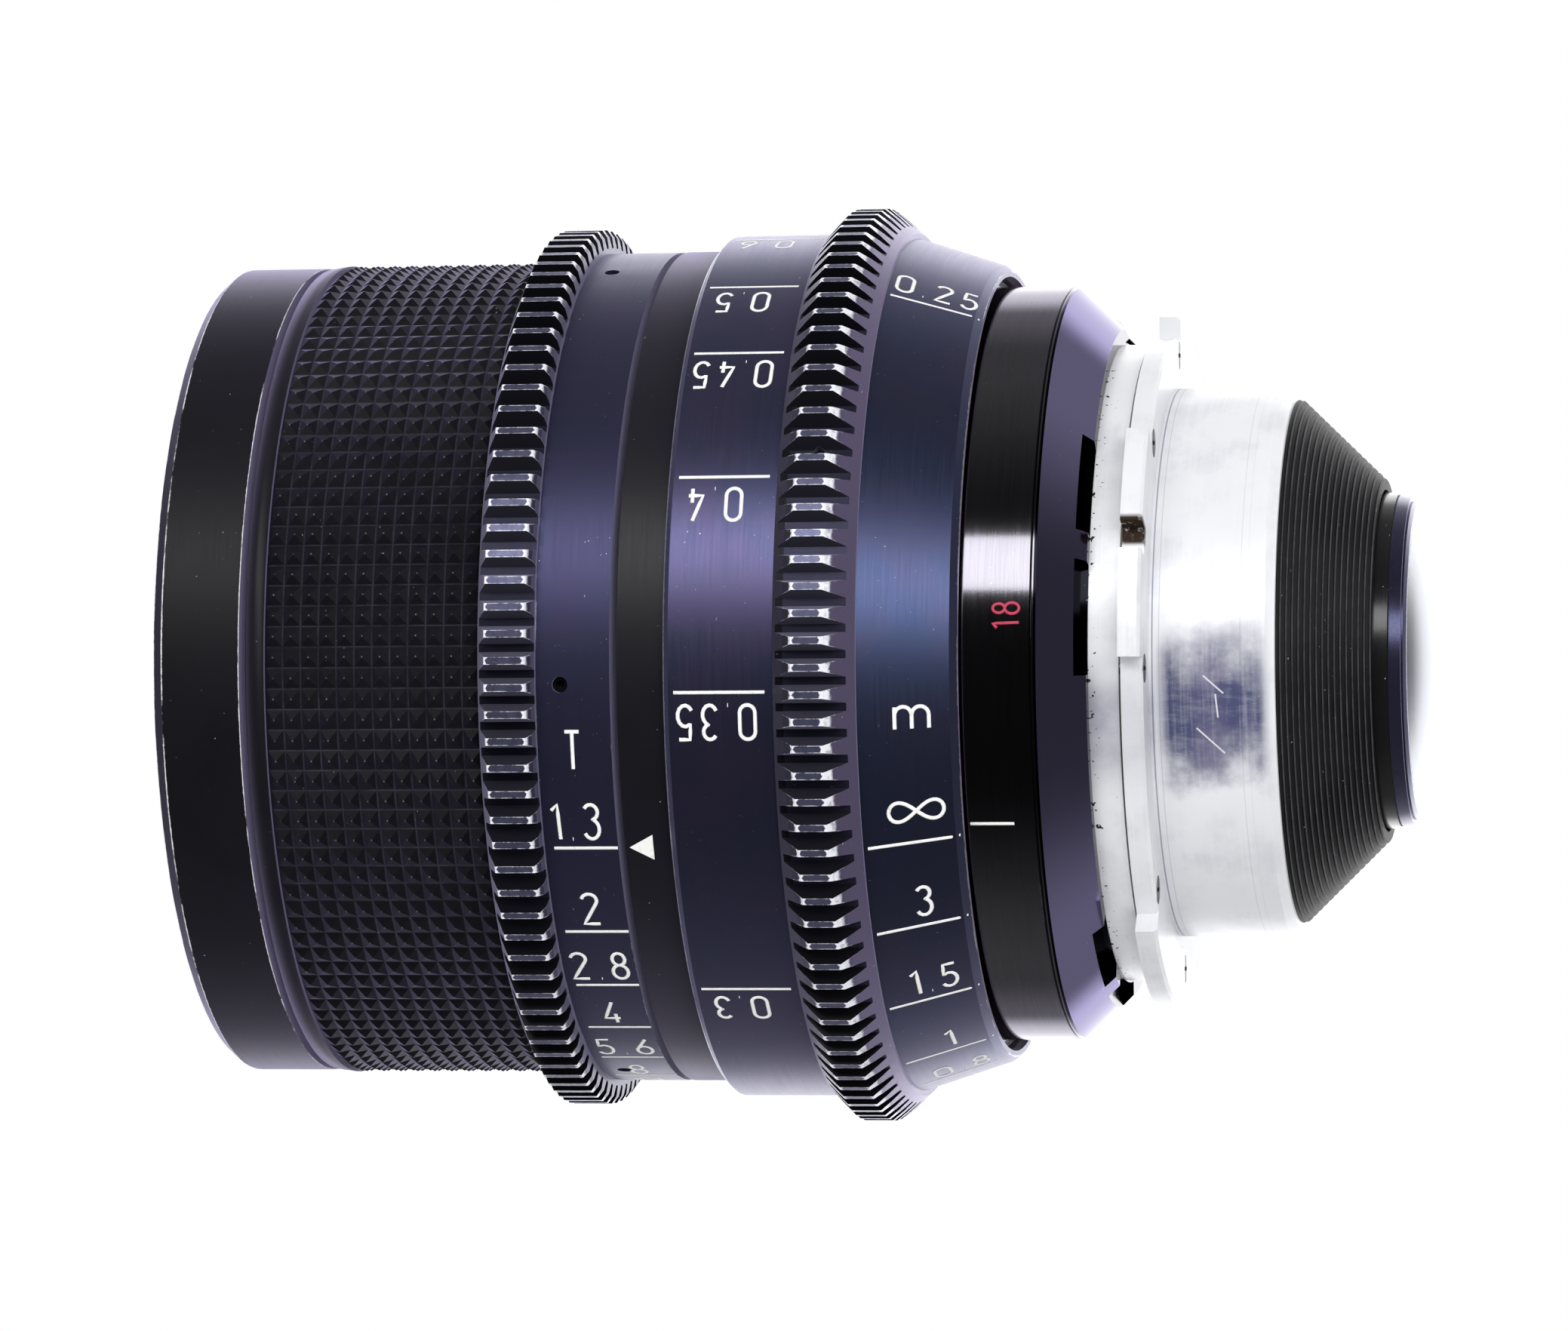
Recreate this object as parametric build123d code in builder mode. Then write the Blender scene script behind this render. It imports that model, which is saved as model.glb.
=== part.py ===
from build123d import *
from math import asin, atan2, cos, degrees, hypot, pi, radians, sin, sqrt
import os

# Cinema prime lens, in millimetres.
# The lens axis is X and points from the front glass to the camera; +Z is up.
# The origin is the centre of the flange's seat, the plane that rests on the camera.
# Angles round the axis count from -Y, the side that carries the index marks, and grow upwards.

os.makedirs("parts", exist_ok=True)

# Fits between pieces
running_clearance = 0.05
free_clearance = 0.35
axial_clearance = 0.1
ring_gap = 0.7
overrun = 2.0

# Camera mount
throat_radius = 27.0
throat_length = 11.9
throat_wall = 1.8
throat_chamfer_length = 0.87
throat_chamfer_drop = 0.6
flange_thickness = 2.1
flange_height = 4.9
flange_bevel = 0.3
tab_height = 2.2
tab_count = 4
tab_angle = 40.0
tab_centre_angle = 21.0
notch_width = 2.8
spigot_height = 1.6
spigot_length = 7.2
shim_thickness = 0.25
shim_inset = 0.5
seat_ring_height = 2.75
seat_ring_length = 2.9

# Mount screws, countersunk in the flange's rear face
mount_screw_count = 8
mount_screw_angle = -1.0
mount_screw_radius = 0.8
mount_screw_head_radius = 1.4
mount_screw_length = 6.0
screw_slot_width = 0.4
screw_slot_depth = 0.35

# Ribbed light baffle on the throat, and its bore for the rear cell
baffle_length = 8.35
baffle_start_drop = 1.0
baffle_gap = 0.3
baffle_wall = 1.0
baffle_spigot_length = 3.0
rib_count = 16
rib_depth = 0.3
rib_crest_share = 0.25

# Fixed tube that carries the focus ring and guides the optical block
core_radius = 34.9
guide_wall = 1.4
guide_length = 29.0
barrel_wall = 0.93
barrel_show_length = 6.55
barrel_collar_length = 7.65
edge_ring_length = 0.6
edge_ring_drop = 0.13
edge_groove_width = 0.1
rear_cone_length = 4.2
rear_cone_lip = 1.55
barrel_shoulder_length = 1.2
web_thickness = 1.95
web_taper_drop = 3.9
thrust_flange_height = 0.67
thrust_flange_length = 1.3
thrust_flange_inset = 1.2
pocket_depth = 1.05
pocket_floor_height = 0.2
pocket_spans = ((40.0, 22.0), (17.0, -2.0))

# Guide key and keyway
key_length = 5.0
key_width = 4.0
key_height = 1.65
key_sink = 0.7
key_angle = 180.0
key_inset = 0.6
key_screw_radius = 0.8
key_screw_spacing = 2.6

# Optical block: front tube, sliding tube and multi-start thread
front_tube_step = 0.3
front_tube_wall = 1.6
block_thread_wall = 1.85
focus_nut_wall = 2.25
focus_nut_inset = 2.9
block_thread_inset = 0.5

# Focus ring
focus_cone_length = 9.1
focus_cone_front_drop = 0.52
focus_cone_rear_height = 2.2
focus_lip_length = 0.7
focus_lip_drop = 0.6
shadow_gap = 1.07
bearing_length = 4.4
focus_spigot_length = 1.3
focus_spigot_wall = 1.6
focus_gear_length = 7.8
focus_gear_rim = 2.9
focus_gear_teeth = 111
focus_groove_angle = 1.33
focus_sleeve_length = 10.6
focus_sleeve_wall = 1.12
focus_sleeve_bevel = 0.6
focus_screw_count = 3
focus_screw_angle = 27.0

# Focus stop: a lug on the fixed tube and a pin in the ring
focus_turn = 278.0
stop_margin = 0.5
stop_pin_radius = 0.6
stop_pin_angle = 200.0
retainer_length = 1.2
retainer_height = 2.0
stop_lug_height = 2.3
stop_lug_length = 1.4
stop_pin_drop = 0.35

# Gears of 0.8 module
gear_module = 0.8
tooth_depth = 2.25 * gear_module
tooth_land = 0.7
groove_floor = 0.75

# Index band
index_show_length = 4.6
index_height = 3.05
index_flange_length = 2.5
index_wall = 1.35

# Iris ring
iris_tube_wall = 1.55
iris_scale_length = 7.1
iris_scale_height = 2.02
iris_web_length = 1.0
iris_gear_length = 5.6
iris_gear_rim = 2.6
iris_gear_teeth = 107
iris_groove_angle = 2.54
grip_length = 22.8
grip_height = 1.25
grip_band_length = 1.8
grip_band_drop = 0.25
grip_bearing_length = 5.0
grip_relief = 0.5
knurl_ribs = 64
knurl_rows = 6
knurl_depth = 0.5
knurl_land = 0.8
knurl_floor = 0.3
knurl_gap = 1.2
knurl_groove_angle = 1.22
set_screw_count = 5
set_screw_angle = -2.3
set_screw_inset = 2.3
set_screw_radius = 0.75
set_screw_sink = 0.4
set_screw_length = 2.4
hex_radius = 0.4
hex_depth = 0.8

# Iris: seven blades between a turning cam ring and a fixed base plate
aperture_radius = 13.6
blade_count = 7
blade_thickness = 0.15
blade_pitch = 0.25
blade_width = 7.0
blade_angle = 106.0
blade_heel_angle = 4.0
blade_pivot_gap = 1.4
blade_pin_radius = 0.5
blade_ear_radius = 1.1
blade_turn = 33.0
cam_pin_radius = 0.4
cam_pin_gap = 2.0
cam_pin_angle = 12.0
cam_slot_clearance = 0.1
cam_thickness = 1.0
cam_rim_wall = 1.8
cam_rim_length = 2.8
base_thickness = 1.5
base_inset = 1.5
plate_margin = 0.6
iris_turn = 72.5
drive_pin_radius = 0.9
drive_pin_angle = 140.0
drive_slot_margin = 1.0
iris_retainer_length = 1.1
iris_retainer_wall = 2.0
cam_slot_steps = 12

# Front ring with the filter thread
front_ring_length = 7.6
front_ring_height = 2.64
front_bevel_length = 0.96
front_bevel_drop = 0.85
filter_wall = 1.74
filter_depth = 4.8

# Front group
front_baffle_wall = 0.5
front_baffle_reach = 3.0
front_retainer_reach = 2.2
front_cell_wall = 2.4
front_glass_flat = 7.6
front_glass_front_curve_share = 2.866
front_glass_rear_curve_share = 1.435

second_glass_drop = 8.1
second_glass_front_flat = 1.5
second_glass_rear_flat = 6.5
second_glass_front_curve_share = 2.5
second_glass_rear_curve_share = 1.263
front_spacer_wall = 1.4

third_glass_drop = 5.5
third_glass_front_curve_share = 2.66
third_glass_rear_curve_share = 3.19
middle_spacer_wall = 1.2
third_lip = 1.2

# Rear group
rear_flange_length = 2.5
rear_tube_gap = 1.7
rear_taper_length = 7.0
neck_length = 9.68
neck_stand = 1.43
neck_wall = 2.0
rear_glass_wall = 2.5

fourth_glass_front_curve_share = 3.95
fourth_glass_rear_curve_share = 4.74
group_retainer_wall = 2.0
rear_spacer_wall = 2.0

fifth_front_curve_share = 5.8
fifth_cement_curve_share = 2.0
fifth_rear_curve_share = 4.12
fifth_clear_gap = 1.0

sixth_glass_drop = 3.0
sixth_glass_curve_share = 4.85
second_spacer_wall = 1.5
sixth_lip = 1.5

rear_glass_radius = 14.5
rear_glass_edge = 9.4
rear_glass_front_curve_share = 5.3
rear_glass_rear_curve_share = 2.78
rear_glass_stand = 1.72
rear_seat_lip = 1.3
rear_ring_front_gap = 0.12
rear_ring_band_length = 1.1
rear_ring_groove_length = 0.2
rear_ring_groove_drop = 0.7
rear_ring_band_drop = 0.2
rear_ring_rim_drop = 1.5

# Places along the axis, chained forward from the seat
flange_front = -flange_thickness
shim_front = flange_front - shim_thickness
seat_ring_front = shim_front - seat_ring_length
spigot_front = -spigot_length
cone_front = seat_ring_front - rear_cone_length
edge_front = cone_front - edge_ring_length
focus_rear = edge_front - barrel_show_length
focus_cone_front = focus_rear - focus_cone_length
focus_gear_front = focus_cone_front - focus_gear_length
focus_front = focus_gear_front - focus_sleeve_length
index_front = focus_front - index_show_length
iris_rear = index_front - ring_gap
iris_gear_rear = iris_rear - iris_scale_length
grip_rear = iris_gear_rear - iris_gear_length
iris_front = grip_rear - grip_length
front_ring_rear = iris_front - ring_gap
front_edge = front_ring_rear - front_ring_length
front_face = front_edge - front_bevel_length
filter_rear = front_face + filter_depth

# Radii, chained outwards from the core and from the throat
throat_bore = throat_radius - throat_wall
spigot_radius = throat_radius + spigot_height
seat_ring_radius = spigot_radius + seat_ring_height
flange_radius = throat_radius + flange_height
tab_radius = flange_radius + tab_height
mount_screw_circle = (throat_radius + flange_radius) / 2 + mount_screw_radius
rear_cone_end = seat_ring_radius + rear_cone_lip
neck_radius = rear_glass_radius + neck_wall
baffle_bore = neck_radius + baffle_gap
baffle_end_radius = baffle_bore + baffle_wall

guide_radius = core_radius + guide_wall
barrel_radius = guide_radius + barrel_wall
slide_bore = guide_radius + running_clearance
block_thread_radius = slide_bore + block_thread_wall
focus_thread_radius = block_thread_radius + running_clearance
focus_nut_radius = focus_thread_radius + focus_nut_wall
focus_gear_root = focus_nut_radius + focus_gear_rim
focus_gear_tip = focus_gear_root + tooth_depth
index_radius = block_thread_radius + index_height
focus_sleeve_bore = index_radius + free_clearance
focus_sleeve_radius = focus_sleeve_bore + focus_sleeve_wall
focus_cone_front_radius = focus_sleeve_radius - focus_cone_front_drop
focus_cone_rear_radius = barrel_radius + focus_cone_rear_height
focus_cone_bore = barrel_radius + shadow_gap
bearing_bore = barrel_radius + running_clearance
focus_spigot_bore = focus_nut_radius - focus_spigot_wall

front_bore = guide_radius - front_tube_step
front_tube_radius = front_bore + front_tube_wall
iris_bore = front_tube_radius + running_clearance
iris_tube_radius = iris_bore + iris_tube_wall
iris_scale_radius = iris_tube_radius + iris_scale_height
iris_gear_root = iris_tube_radius + iris_gear_rim
iris_gear_tip = iris_gear_root + tooth_depth
grip_radius = iris_tube_radius + grip_height
front_ring_radius = front_tube_radius + front_ring_height
filter_radius = front_ring_radius - filter_wall

# Places inside, from the same values
nut_front = focus_front + focus_nut_inset
nut_rear = focus_cone_front - focus_spigot_length
block_rear = nut_rear - block_thread_inset
guide_rear = edge_front - edge_ring_length - free_clearance
guide_front = guide_rear - guide_length
collar_front = focus_rear - barrel_collar_length
thrust_front = focus_rear - thrust_flange_inset - thrust_flange_length
bearing_rear = thrust_front - axial_clearance
bearing_front = bearing_rear - bearing_length
retainer_rear = collar_front
retainer_front = retainer_rear - retainer_length
stop_front = retainer_front - stop_lug_length
index_flange_rear = index_front + index_flange_length
index_sleeve_rear = nut_front - free_clearance
base_front = index_front + base_inset
base_rear = base_front + base_thickness
cam_rear = base_front - blade_count * blade_pitch - axial_clearance
cam_front = cam_rear - cam_thickness
cam_rim_front = cam_front - cam_rim_length
drive_pin_x = cam_front - cam_rim_length / 2
iris_retainer_rear = cam_rim_front - axial_clearance
rear_flange_rear = base_rear + rear_flange_length
rear_tube_radius = throat_bore - rear_tube_gap
baffle_rear = throat_length + baffle_length
neck_end = baffle_rear + neck_stand
rear_taper_rear = neck_end - neck_length
rear_taper_front = rear_taper_rear - rear_taper_length

# Iris geometry in the plane across the axis
blade_outer = aperture_radius + blade_width
pivot_radius = blade_outer + blade_pivot_gap
cam_pin_circle = pivot_radius + cam_pin_gap


# Direction across the lens for an angle that counts from -Y upwards
def across(radius, angle):
    return (-radius * cos(radians(angle)), radius * sin(radians(angle)))


# Solid or cut turned about the lens axis from its outline of (x, radius) corners
def turned(*outline, mode=Mode.ADD):
    with BuildSketch(Plane.XZ) as section:
        with BuildLine():
            Polyline(*outline, close=True)
        make_face()
    revolve(section.sketch, axis=Axis.X, mode=mode)


# Plain ring between two places and two radii
def ring(front, rear, inner, outer, mode=Mode.ADD):
    turned((front, inner), (rear, inner), (rear, outer), (front, outer), mode=mode)


# Sector of a ring, from one angle up to another
def sector(front, rear, inner, outer, start, end, mode=Mode.ADD):
    middle = (start + end) / 2
    with BuildSketch(Plane.YZ.offset(front)) as section:
        with BuildLine():
            ThreePointArc(across(inner, start), across(inner, middle), across(inner, end))
            Line(across(inner, end), across(outer, end))
            ThreePointArc(across(outer, end), across(outer, middle), across(outer, start))
            Line(across(outer, start), across(inner, start))
        make_face()
    extrude(section.sketch, amount=rear - front, mode=mode)


# Round pin or hole along a radius, at one place and angle
def radial_pin(place, angle, inner, outer, radius, mode=Mode.ADD):
    y, z = across(inner, angle)
    outward = Vector(0, *across(1, angle))
    foot = Plane(origin=(place, y, z), z_dir=outward)
    with BuildSketch(foot) as section:
        Circle(radius)
    extrude(section.sketch, amount=outer - inner, mode=mode)


# Grooves cut along the axis between teeth or ribs that stand from root to tip
def tooth_grooves(front, rear, root, tip, teeth, groove_angle, land, floor):
    open_width = 2 * pi * tip / teeth - land
    depth = tip - root
    with BuildSketch(Plane.YZ.offset(front)) as grooves:
        with PolarLocations(root, teeth, start_angle=180 - groove_angle):
            Polygon(
                (0, -floor / 2), (depth, -open_width / 2), (2 * depth, -open_width / 2),
                (2 * depth, open_width / 2), (depth, open_width / 2), (0, floor / 2), align=None,
            )
    extrude(grooves.sketch, amount=rear - front, mode=Mode.SUBTRACT)


# Depth of a spherical face whose curve is the given share of its clear radius
def dome(curve_share, clear):
    return clear * (curve_share - sqrt(curve_share ** 2 - 1))


# Arc from the axis out to the clear radius of a spherical face. A face is (edge place, signed
# depth, clear radius), and its apex lies the depth in front of the edge.
def spherical_face(face):
    edge_x, depth, clear = face
    curve = (clear ** 2 + depth ** 2) / (2 * depth)
    half_turn = asin(clear / abs(curve)) / 2
    middle = (edge_x - depth + curve * (1 - cos(half_turn)), abs(curve) * sin(half_turn))
    ThreePointArc((edge_x - depth, 0), middle, (edge_x, clear))


# Glass turned from two spherical faces, with a flat from each clear radius to the rim
def glass(front, rear, rim):
    front_edge_x, front_depth, front_clear = front
    rear_edge_x, rear_depth, rear_clear = rear
    with BuildSketch(Plane.XZ) as section:
        with BuildLine():
            spherical_face(front)
            if rim > front_clear:
                Line((front_edge_x, front_clear), (front_edge_x, rim))
            Line((front_edge_x, rim), (rear_edge_x, rim))
            if rim > rear_clear:
                Line((rear_edge_x, rim), (rear_edge_x, rear_clear))
            spherical_face(rear)
            Line((rear_edge_x - rear_depth, 0), (front_edge_x - front_depth, 0))
        make_face()
    revolve(section.sketch, axis=Axis.X)


# Writes a finished piece under its own name
def save(piece, name):
    piece.part.label = name
    export_step(piece.part, f"parts/{name}.step")


# Fixed pieces at the camera end

with BuildPart() as lens_mount:
    turned(
        (spigot_front, throat_bore), (throat_length, throat_bore),
        (throat_length, throat_radius - throat_chamfer_drop),
        (throat_length - throat_chamfer_length, throat_radius), (0, throat_radius),
        (0, flange_radius - flange_bevel), (-flange_bevel, flange_radius),
        (flange_front, flange_radius), (flange_front, spigot_radius), (spigot_front, spigot_radius),
    )
    for tab in range(tab_count):
        middle = tab_centre_angle + tab * 360 / tab_count
        sector(flange_front, 0, flange_radius - tab_height, tab_radius,
               middle - tab_angle / 2, middle + tab_angle / 2)
    tab_rims = lens_mount.edges().filter_by(GeomType.CIRCLE).filter_by(
        lambda edge: abs(edge.radius - tab_radius) < flange_bevel and abs(edge.center().X) < flange_bevel)
    chamfer(tab_rims, length=flange_bevel)
    y, z = across(flange_radius, tab_centre_angle)
    notch_foot = Plane(origin=(flange_front, y, z), x_dir=(0, *across(1, tab_centre_angle)), z_dir=(1, 0, 0))
    with BuildSketch(notch_foot):
        Rectangle(tab_height + overrun, notch_width, align=(Align.MIN, Align.CENTER))
    extrude(amount=flange_thickness, mode=Mode.SUBTRACT)
    for screw in range(mount_screw_count):
        y, z = across(mount_screw_circle, mount_screw_angle + screw * 360 / mount_screw_count)
        with Locations(Plane(origin=(0, y, z), z_dir=(1, 0, 0))):
            CounterSinkHole(mount_screw_radius, mount_screw_head_radius, depth=flange_thickness)
save(lens_mount, "lens_mount")

screw_head_depth = mount_screw_head_radius - mount_screw_radius
with BuildPart() as mount_screws:
    for screw in range(mount_screw_count):
        y, z = across(mount_screw_circle, mount_screw_angle + screw * 360 / mount_screw_count)
        with BuildSketch(Plane(origin=(-mount_screw_length, y, z), z_dir=(1, 0, 0))) as shank:
            Circle(mount_screw_radius)
        extrude(shank.sketch, amount=mount_screw_length)
        with BuildSketch(Plane(origin=(-screw_head_depth, y, z), z_dir=(1, 0, 0))) as neck:
            Circle(mount_screw_radius)
        with BuildSketch(Plane(origin=(0, y, z), z_dir=(1, 0, 0))) as head:
            Circle(mount_screw_head_radius)
        loft([neck.sketch.face(), head.sketch.face()])
        with BuildSketch(Plane(origin=(-screw_slot_depth, y, z), z_dir=(1, 0, 0))) as slot:
            Rectangle(2 * mount_screw_head_radius + overrun, screw_slot_width)
            Rectangle(screw_slot_width, 2 * mount_screw_radius)
        extrude(slot.sketch, amount=screw_slot_depth + overrun, mode=Mode.SUBTRACT)
save(mount_screws, "mount_screws")


# Clearance holes for the mount screws' shanks through a ring behind the flange
def screw_holes(front, rear):
    for screw in range(mount_screw_count):
        y, z = across(mount_screw_circle, mount_screw_angle + screw * 360 / mount_screw_count)
        with BuildSketch(Plane(origin=(front, y, z), z_dir=(1, 0, 0))) as hole:
            Circle(mount_screw_radius)
        extrude(hole.sketch, amount=rear - front, mode=Mode.SUBTRACT)


with BuildPart() as mount_shim:
    ring(shim_front, flange_front, spigot_radius, seat_ring_radius - shim_inset)
    screw_holes(shim_front, flange_front)
save(mount_shim, "mount_shim")

with BuildPart() as seat_ring:
    ring(seat_ring_front, shim_front, spigot_radius, seat_ring_radius)
    screw_holes(seat_ring_front, shim_front)
save(seat_ring, "seat_ring")

edge_ring_radius = barrel_radius - edge_ring_drop
web_front = seat_ring_front - web_thickness
web_taper_front = guide_rear + barrel_shoulder_length
with BuildPart() as rear_barrel:
    turned(
        (collar_front, guide_radius), (guide_rear, guide_radius), (guide_rear, core_radius),
        (web_taper_front, core_radius), (web_front, core_radius - web_taper_drop),
        (web_front, spigot_radius), (seat_ring_front, spigot_radius),
        (seat_ring_front, rear_cone_end), (cone_front, edge_ring_radius),
        (edge_front + 2 * edge_groove_width, edge_ring_radius),
        (edge_front + edge_groove_width, edge_ring_radius - edge_groove_width),
        (edge_front, barrel_radius),
        (thrust_front + thrust_flange_length, barrel_radius),
        (thrust_front + thrust_flange_length, barrel_radius + thrust_flange_height),
        (thrust_front, barrel_radius + thrust_flange_height), (thrust_front, barrel_radius),
        (collar_front, barrel_radius),
    )
    for tab in range(tab_count):
        for high, low in pocket_spans:
            turn = tab * 360 / tab_count
            sector(seat_ring_front - pocket_depth, seat_ring_front,
                   seat_ring_radius + pocket_floor_height, barrel_radius, low + turn, high + turn,
                   mode=Mode.SUBTRACT)
    screw_holes(-mount_screw_length, seat_ring_front)
save(rear_barrel, "rear_barrel")

key_rear = guide_front + key_inset + key_length
key_middle = key_rear - key_length / 2
key_plane = Plane(origin=(key_middle, 0, 0), x_dir=(1, 0, 0), z_dir=(0, *across(1, key_angle)))
with BuildPart() as guide_tube:
    ring(guide_front, guide_rear, core_radius, guide_radius)
    with BuildSketch(key_plane) as seat:
        Rectangle(key_length, key_width)
    extrude(seat.sketch.moved(Location((0, *across(guide_radius - key_sink, key_angle)))),
            amount=key_sink + overrun, mode=Mode.SUBTRACT)
    for place in (-key_screw_spacing / 2, key_screw_spacing / 2):
        radial_pin(key_middle + place, key_angle, core_radius - overrun, guide_radius, key_screw_radius,
                   mode=Mode.SUBTRACT)
save(guide_tube, "guide_tube")

with BuildPart() as guide_key:
    with BuildSketch(key_plane) as blank:
        Rectangle(key_length, key_width)
    extrude(blank.sketch.moved(Location((0, *across(guide_radius - key_sink, key_angle)))),
            amount=key_sink + key_height)
    for place in (-key_screw_spacing / 2, key_screw_spacing / 2):
        radial_pin(key_middle + place, key_angle, core_radius, guide_radius + key_height, key_screw_radius,
                   mode=Mode.SUBTRACT)
save(guide_key, "guide_key")

with BuildPart() as key_screws:
    for place in (-key_screw_spacing / 2, key_screw_spacing / 2):
        radial_pin(key_middle + place, key_angle, core_radius, guide_radius + key_height - screw_slot_depth,
                   key_screw_radius)
save(key_screws, "key_screws")

stop_gap = stop_margin + degrees(asin(stop_pin_radius / guide_radius))
stop_start = stop_pin_angle + focus_turn + stop_gap
stop_end = stop_pin_angle + 360 - stop_gap
with BuildPart() as focus_retainer:
    ring(retainer_front, retainer_rear, guide_radius, guide_radius + retainer_height)
    sector(stop_front, retainer_front, guide_radius, guide_radius + stop_lug_height, stop_start, stop_end)
save(focus_retainer, "focus_retainer")

baffle_start = throat_radius - baffle_start_drop
rib_length = baffle_length / rib_count
rib_drop = (baffle_start - baffle_end_radius) / rib_count
baffle_outline = []
for rib in range(rib_count):
    rib_front = throat_length + rib * rib_length
    rib_radius = baffle_start - rib * rib_drop
    baffle_outline += [
        (rib_front, rib_radius - rib_depth),
        (rib_front + rib_length * (1 - rib_crest_share), rib_radius - rib_depth - rib_drop / 2),
        (rib_front + rib_length * (1 - rib_crest_share), rib_radius - rib_drop * (1 - rib_crest_share)),
        (rib_front + rib_length, rib_radius - rib_drop),
    ]
with BuildPart() as rear_baffle:
    turned(
        (throat_length - baffle_spigot_length, throat_bore), (throat_length, throat_bore),
        *baffle_outline,
        (baffle_rear, baffle_bore), (baffle_rear - baffle_wall, baffle_bore),
        (throat_length - baffle_wall, throat_bore - 2 * baffle_wall),
        (throat_length - baffle_spigot_length, throat_bore - baffle_wall),
    )
save(rear_baffle, "rear_baffle")

# Focus ring

with BuildPart() as focus_nut:
    ring(nut_front, nut_rear, focus_thread_radius, focus_nut_radius)
save(focus_nut, "focus_nut")

nut_seat_front = focus_gear_front - focus_nut_inset
with BuildPart() as focus_sleeve:
    turned(
        (focus_front, focus_sleeve_bore), (nut_seat_front, focus_sleeve_bore),
        (nut_seat_front, focus_nut_radius), (focus_gear_front, focus_nut_radius),
        (focus_gear_front, focus_sleeve_radius), (focus_front + focus_sleeve_bevel, focus_sleeve_radius),
        (focus_front, focus_sleeve_radius - focus_sleeve_bevel),
    )
save(focus_sleeve, "focus_sleeve")

# Shares of the gear's length and of its tooth depth along the bevelled blank
focus_gear_profile_shares = ((0, -0.2), (0.15, 0.5), (0.27, 1), (0.64, 1), (0.78, 0.5), (1, -0.38))
with BuildPart() as focus_gear:
    turned(
        (focus_gear_front, focus_nut_radius),
        *((focus_gear_front + focus_gear_length * along, focus_gear_root + tooth_depth * high)
          for along, high in focus_gear_profile_shares),
        (focus_cone_front, focus_nut_radius),
    )
    tooth_grooves(focus_gear_front, focus_cone_front, focus_gear_root, focus_gear_tip,
                  focus_gear_teeth, focus_groove_angle, tooth_land, groove_floor)
    focus_screw_x = focus_gear_front + focus_gear_length / 2
    for screw in range(focus_screw_count):
        angle = focus_screw_angle + screw * 360 / focus_screw_count
        radial_pin(focus_screw_x, angle, focus_nut_radius - overrun, focus_gear_tip + overrun,
                   set_screw_radius, mode=Mode.SUBTRACT)
save(focus_gear, "focus_gear")

with BuildPart() as focus_gear_screws:
    for screw in range(focus_screw_count):
        angle = focus_screw_angle + screw * 360 / focus_screw_count
        radial_pin(focus_screw_x, angle, focus_nut_radius, focus_gear_root - set_screw_sink,
                   set_screw_radius)
        radial_pin(focus_screw_x, angle, focus_gear_root - set_screw_sink - hex_depth, focus_gear_tip,
                   hex_radius, mode=Mode.SUBTRACT)
save(focus_gear_screws, "focus_gear_screws")

with BuildPart() as focus_cone:
    turned(
        (nut_rear, focus_spigot_bore), (nut_rear, focus_nut_radius), (focus_cone_front, focus_nut_radius),
        (focus_cone_front, focus_cone_front_radius),
        (focus_rear - focus_lip_length, focus_cone_rear_radius),
        (focus_rear, focus_cone_rear_radius - focus_lip_drop), (focus_rear, focus_cone_bore),
        (bearing_rear, focus_cone_bore), (bearing_rear, bearing_bore),
        (bearing_front, bearing_bore), (bearing_front, focus_spigot_bore),
    )
    stop_pin_x = (stop_front + retainer_front) / 2
    radial_pin(stop_pin_x, stop_pin_angle, focus_spigot_bore - overrun, focus_nut_radius, stop_pin_radius,
               mode=Mode.SUBTRACT)
save(focus_cone, "focus_cone")

with BuildPart() as focus_stop_pin:
    radial_pin(stop_pin_x, stop_pin_angle, guide_radius + stop_pin_drop, focus_nut_radius, stop_pin_radius)
save(focus_stop_pin, "focus_stop_pin")

# Optical block: housing pieces

drive_slot_half = degrees(asin((drive_pin_radius + running_clearance) / front_bore)) + drive_slot_margin
with BuildPart() as front_barrel:
    turned(
        (filter_rear, front_bore), (rear_flange_rear, front_bore), (rear_flange_rear, slide_bore),
        (block_rear, slide_bore), (block_rear, block_thread_radius),
        (index_flange_rear, block_thread_radius), (index_flange_rear, front_tube_radius),
        (filter_rear, front_tube_radius),
    )
    slot_half_width = drive_pin_radius + running_clearance
    sector(drive_pin_x - slot_half_width, drive_pin_x + slot_half_width,
           front_bore - overrun, front_tube_radius + running_clearance,
           drive_pin_angle - drive_slot_half, drive_pin_angle + iris_turn + drive_slot_half,
           mode=Mode.SUBTRACT)
    keyway_front = guide_front - ring_gap
    with BuildSketch(Plane(origin=((keyway_front + block_rear) / 2, 0, 0), x_dir=(1, 0, 0),
                           z_dir=(0, *across(1, key_angle)))) as keyway:
        Rectangle(block_rear - keyway_front, key_width + 2 * running_clearance)
    extrude(keyway.sketch, amount=block_thread_radius + overrun, mode=Mode.SUBTRACT)
save(front_barrel, "front_barrel")

with BuildPart() as index_band:
    turned(
        (index_front, front_tube_radius), (index_flange_rear, front_tube_radius),
        (index_flange_rear, index_radius - index_wall), (index_sleeve_rear, index_radius - index_wall),
        (index_sleeve_rear, index_radius), (index_front, index_radius),
    )
save(index_band, "index_band")

with BuildPart() as front_ring:
    turned(
        (front_face, filter_radius), (filter_rear, filter_radius), (filter_rear, front_tube_radius),
        (front_ring_rear, front_tube_radius), (front_ring_rear, front_ring_radius),
        (front_edge, front_ring_radius), (front_face, front_ring_radius - front_bevel_drop),
    )
save(front_ring, "front_ring")

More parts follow.
